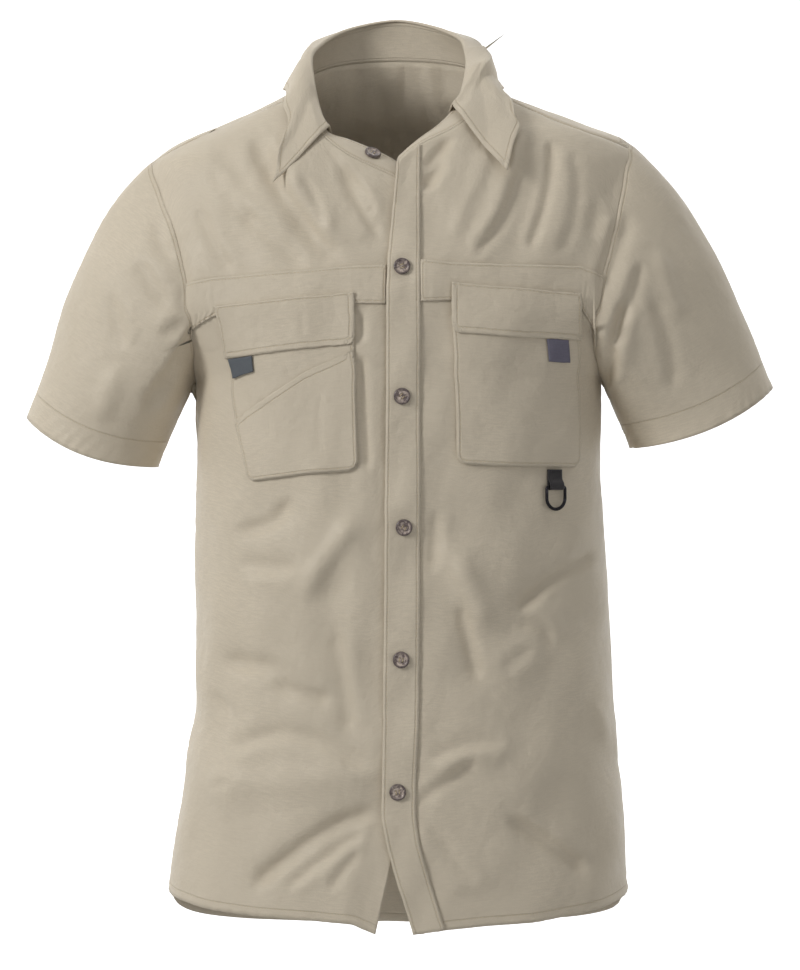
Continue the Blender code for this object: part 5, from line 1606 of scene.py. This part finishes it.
class SHIRT_OT_sleeves(bpy.types.Operator):
    """Lays both sleeves, from the armhole seam to the open cuff"""

    bl_idname = "shirt.sleeves"
    bl_label = "Sleeves"

    def execute(self, context):
        for side in SIDES:
            lay(f"sleeve_{side}", context.scene.shirt_sizes.cloth, (0.52, 0.26))
        return {"FINISHED"}


class SHIRT_OT_collar(bpy.types.Operator):
    """Lays the collar's stand and its falling leaf"""

    bl_idname = "shirt.collar"
    bl_label = "Collar"

    def execute(self, context):
        doubled = context.scene.shirt_sizes.doubled
        lay("collar_stand", doubled, (0.52, 0.045))
        lay("collar_leaf", doubled, (0.56, 0.075))
        return {"FINISHED"}


class SHIRT_OT_placket(bpy.types.Operator):
    """Lays the placket on the left front's edge"""

    bl_idname = "shirt.placket"
    bl_label = "Placket"

    def execute(self, context):
        lay("placket", context.scene.shirt_sizes.doubled, (0.036, 0.72))
        return {"FINISHED"}


class SHIRT_OT_pockets(bpy.types.Operator):
    """Lays the chest bands, the pockets with their covers, and the flaps"""

    bl_idname = "shirt.pockets"
    bl_label = "Bands and pockets"

    def execute(self, context):
        sizes = context.scene.shirt_sizes
        for side in SIDES:
            lay(f"band_{side}", sizes.cloth, (0.18, 0.045))
            lay(f"pocket_{side}", sizes.cloth, (0.13, 0.16))
            lay(f"pocket_{side}_cover", sizes.cloth, (0.13, 0.155))
            lay(f"flap_{side}", sizes.doubled, (0.13, 0.062))
        return {"FINISHED"}


class SHIRT_OT_tabs(bpy.types.Operator):
    """Lays the two blank woven tabs below the flaps"""

    bl_idname = "shirt.tabs"
    bl_label = "Tabs"

    def execute(self, context):
        for side in SIDES:
            lay(f"tab_{side}", 0.0008, (0.028, 0.02),
                material=f"tab_{side}")
        return {"FINISHED"}


class SHIRT_OT_buttons(bpy.types.Operator):
    """Models one button and sets it down the placket and on the collar stand"""

    bl_idname = "shirt.buttons"
    bl_label = "Buttons"

    def execute(self, context):
        sizes = context.scene.shirt_sizes
        model = button_model(sizes.button_radius, BUTTON_THICKNESS * MM)
        sheets = garment()
        seat = sizes.doubled / MM / 2 + BUTTON_SEAT
        for number, (x, z) in enumerate(PLACKET_BUTTONS, 1):
            point, normal = nearest(sheets["placket"], x, z)
            button_copy(model, f"button_{number}_horn", f"button_{number}", point + normal * seat, normal,
                        np.array([0, 0, 1.0]), 0.35 * number)
        low, high = np.array(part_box("button_collar")) / MM
        middle = (low + high) / 2
        point, normal = nearest(sheets["collar_stand"], middle[0], middle[2])
        button_copy(model, "button_collar_horn", "button_collar", point + normal * seat, normal,
                    np.array([0, 0, 1.0]), 0.8)
        bpy.data.objects.remove(model)
        return {"FINISHED"}


class SHIRT_OT_ring(bpy.types.Operator):
    """Folds the webbing loop round the ring's bar and bends the D-ring"""

    bl_idname = "shirt.ring"
    bl_label = "Webbing and ring"

    def execute(self, context):
        centre, along, out = ring_place()
        up = np.array([0, 0, 1.0])
        round_bar = RING_WIRE_RADIUS + 0.35 + WEBBING / 2
        top = LOOP_HEIGHT - RING_WIRE_RADIUS
        line = [(-round_bar, top), (-round_bar, top / 2), (-round_bar, 0)]
        line += [(round_bar * math.cos(a), round_bar * math.sin(a)) for a in np.linspace(math.pi, math.tau, 11)[1:]]
        line += [(round_bar * 0.75, 3.2), (-round_bar + WEBBING * 1.35, 7.5), (-round_bar + WEBBING * 1.2, top)]
        line = finer(np.array(line), 3, rounded=True)
        side = np.linspace(-LOOP_WIDTH / 2, LOOP_WIDTH / 2, 13)
        p = (centre + line[:, None, :1] * out + line[:, None, 1:] * up + side[None, :, None] * along)
        step = np.gradient(line, axis=0)
        n = unit(np.stack([-step[:, 1], step[:, 0]], -1))
        n = np.repeat((n[:, :1] * out + n[:, 1:] * up)[:, None], len(side), 1)
        garment()["ring_loop"] = Sheet(p, n)
        lay("ring_loop", WEBBING * 0.9 * MM, (LOOP_WIDTH * MM, 0.044),
            material="webbing")
        bar = []
        for depth in (3.4, LOOP_HEIGHT - 3.6):
            count = 5
            at = centre + out * (-round_bar + WEBBING * 1.9) + up * (depth + 3.0 if depth < 5 else depth)
            bar += [(at + along * s, along, out) for s in np.linspace(-5.4, 5.4, count)]
        sew("ring_loop_stitches", bar, material="ring")
        half, corner = RING_BAR_LENGTH / 2, 2.2
        low = RING_DROP - half
        path = [(s, 0) for s in np.linspace(-half + corner, half - corner, 9)]
        path += [(half - corner + corner * math.sin(a), -corner + corner * math.cos(a))
                 for a in np.linspace(0, math.pi / 2, 7)[1:]]
        path += [(half * math.cos(a), -low - half * math.sin(a)) for a in np.linspace(0, math.pi, 33)]
        path += [(-half + corner - corner * math.sin(a), -corner + corner * math.cos(a))
                 for a in np.linspace(math.pi / 2, 0, 7)[:-1]]
        curve = bpy.data.curves.new("ring_wire", "CURVE")
        curve.dimensions = "3D"
        curve.bevel_depth = RING_WIRE_RADIUS * MM
        curve.bevel_resolution = 6
        spline = curve.splines.new("POLY")
        spline.points.add(len(path) - 1)
        for spot, (s, h) in zip(spline.points, path):
            spot.co = (*((centre + along * s + up * h) * MM), 1)
        spline.use_cyclic_u = True
        wire = bpy.data.objects.new("ring_wire", curve)
        bpy.context.scene.collection.objects.link(wire)
        select_only(wire)
        bpy.ops.object.convert(target="MESH")
        wire = bpy.context.active_object
        clean_faces(wire)
        bpy.ops.object.shade_smooth()
        wire.data.materials.clear()
        wire.data.materials.append(finishes()["ring"])
        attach(wire, "ring")
        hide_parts("d_ring")
        return {"FINISHED"}


class SHIRT_OT_stitching(bpy.types.Operator):
    """Sews the visible seams: one small stitch, copied along every line"""

    bl_idname = "shirt.stitching"
    bl_label = "Stitching"

    def execute(self, context):
        sizes = context.scene.shirt_sizes
        single, doubled = sizes.cloth / MM / 2, sizes.doubled / MM / 2
        groups = {}
        for piece, edge, inset in STITCH_LINES:
            if piece not in garment():
                continue
            thick = doubled if piece.startswith(("collar", "placket", "flap")) else single
            rows = stitch_row(garment()[piece], edge, inset, lift=thick + 0.02)
            groups.setdefault(piece, []).extend(rows)
        for piece, rows in groups.items():
            sew(f"{piece}_stitches", rows)
        return {"FINISHED"}


class SHIRT_OT_stage(bpy.types.Operator):
    """Adds the pale floor and backdrop, the soft lights and the camera"""

    bl_idname = "shirt.stage"
    bl_label = "Stage"

    def execute(self, context):
        scene = context.scene
        bpy.ops.mesh.primitive_plane_add(size=1.0, location=(0, 0, 0))
        paper = context.active_object
        paper.name = "stage_paper"
        select_only(paper)
        bpy.ops.transform.resize(value=(9.0, 7.0, 1.0))
        bpy.ops.transform.translate(value=(0, -1.0, FLOOR))
        bpy.ops.object.transform_apply(location=True, rotation=True, scale=True)
        bpy.ops.object.mode_set(mode="EDIT")
        bpy.ops.mesh.select_mode(type="EDGE")
        work = bmesh.from_edit_mesh(paper.data)
        for edge in work.edges:
            edge.select_set(all(v.co.y > 2.0 for v in edge.verts))
        bmesh.update_edit_mesh(paper.data)
        bpy.ops.mesh.extrude_region_move(TRANSFORM_OT_translate={"value": (0, 0, 5.0)})
        bpy.ops.mesh.select_all(action="SELECT")
        bpy.ops.mesh.normals_make_consistent(inside=False)
        bpy.ops.object.mode_set(mode="OBJECT")
        cove = paper.modifiers.new("cove", "BEVEL")
        cove.width = 0.9
        cove.segments = 10
        bpy.ops.object.modifier_apply(modifier=cove.name)
        bpy.ops.object.shade_smooth()
        paper.data.materials.append(backdrop_material())

        world = bpy.data.worlds.new("studio")
        scene.world = world
        world.use_nodes = True
        world.node_tree.nodes["Background"].inputs["Color"].default_value = (1.0, 1.0, 1.0, 1.0)
        world.node_tree.nodes["Background"].inputs["Strength"].default_value = 0.42
        scene.view_settings.view_transform = "Standard"
        for name, place, size, power in LIGHTS:
            data = bpy.data.lights.new(name, "AREA")
            data.shape = "RECTANGLE"
            data.size, data.size_y = size
            data.energy = power
            lamp = bpy.data.objects.new(name, data)
            scene.collection.objects.link(lamp)
            lamp.location = place
            aim = Vector((0, 0, -0.36)) - Vector(place)
            lamp.rotation_euler = aim.to_track_quat("-Z", "Y").to_euler()
        data = bpy.data.cameras.new("camera")
        data.lens = LENS
        camera = bpy.data.objects.new("camera", data)
        scene.collection.objects.link(camera)
        camera.location = CAMERA
        camera.rotation_euler = (math.pi / 2, 0, 0)
        scene.camera = camera
        return {"FINISHED"}


class SHIRT_PT_panel(bpy.types.Panel):
    """Sizes, colours and steps of the shirt"""

    bl_idname = "SHIRT_PT_panel"
    bl_label = "Shirt"
    bl_space_type = "VIEW_3D"
    bl_region_type = "UI"
    bl_category = "Shirt"

    def draw(self, context):
        for group in (context.scene.shirt_sizes, context.scene.shirt_colours):
            box = self.layout.box()
            for name in group.bl_rna.properties.keys():
                if name not in ("rna_type", "name"):
                    box.prop(group, name)
        for step in STEPS:
            self.layout.operator(step.bl_idname)


STEPS = (SHIRT_OT_body, SHIRT_OT_sleeves, SHIRT_OT_collar, SHIRT_OT_placket, SHIRT_OT_pockets, SHIRT_OT_tabs,
         SHIRT_OT_buttons, SHIRT_OT_ring, SHIRT_OT_stitching, SHIRT_OT_stage)
CLASSES = (SHIRT_PG_sizes, SHIRT_PG_colours) + STEPS + (SHIRT_PT_panel,)


def register():
    for item in CLASSES:
        bpy.utils.register_class(item)
    bpy.types.Scene.shirt_sizes = PointerProperty(type=SHIRT_PG_sizes)
    bpy.types.Scene.shirt_colours = PointerProperty(type=SHIRT_PG_colours)


def unregister():
    del bpy.types.Scene.shirt_colours
    del bpy.types.Scene.shirt_sizes
    for item in reversed(CLASSES):
        bpy.utils.unregister_class(item)


def main():
    """Runs every step in order."""
    register()
    for step in STEPS:
        group, name = step.bl_idname.split(".")
        getattr(getattr(bpy.ops, group), name)()


if __name__ == "__main__":
    main()
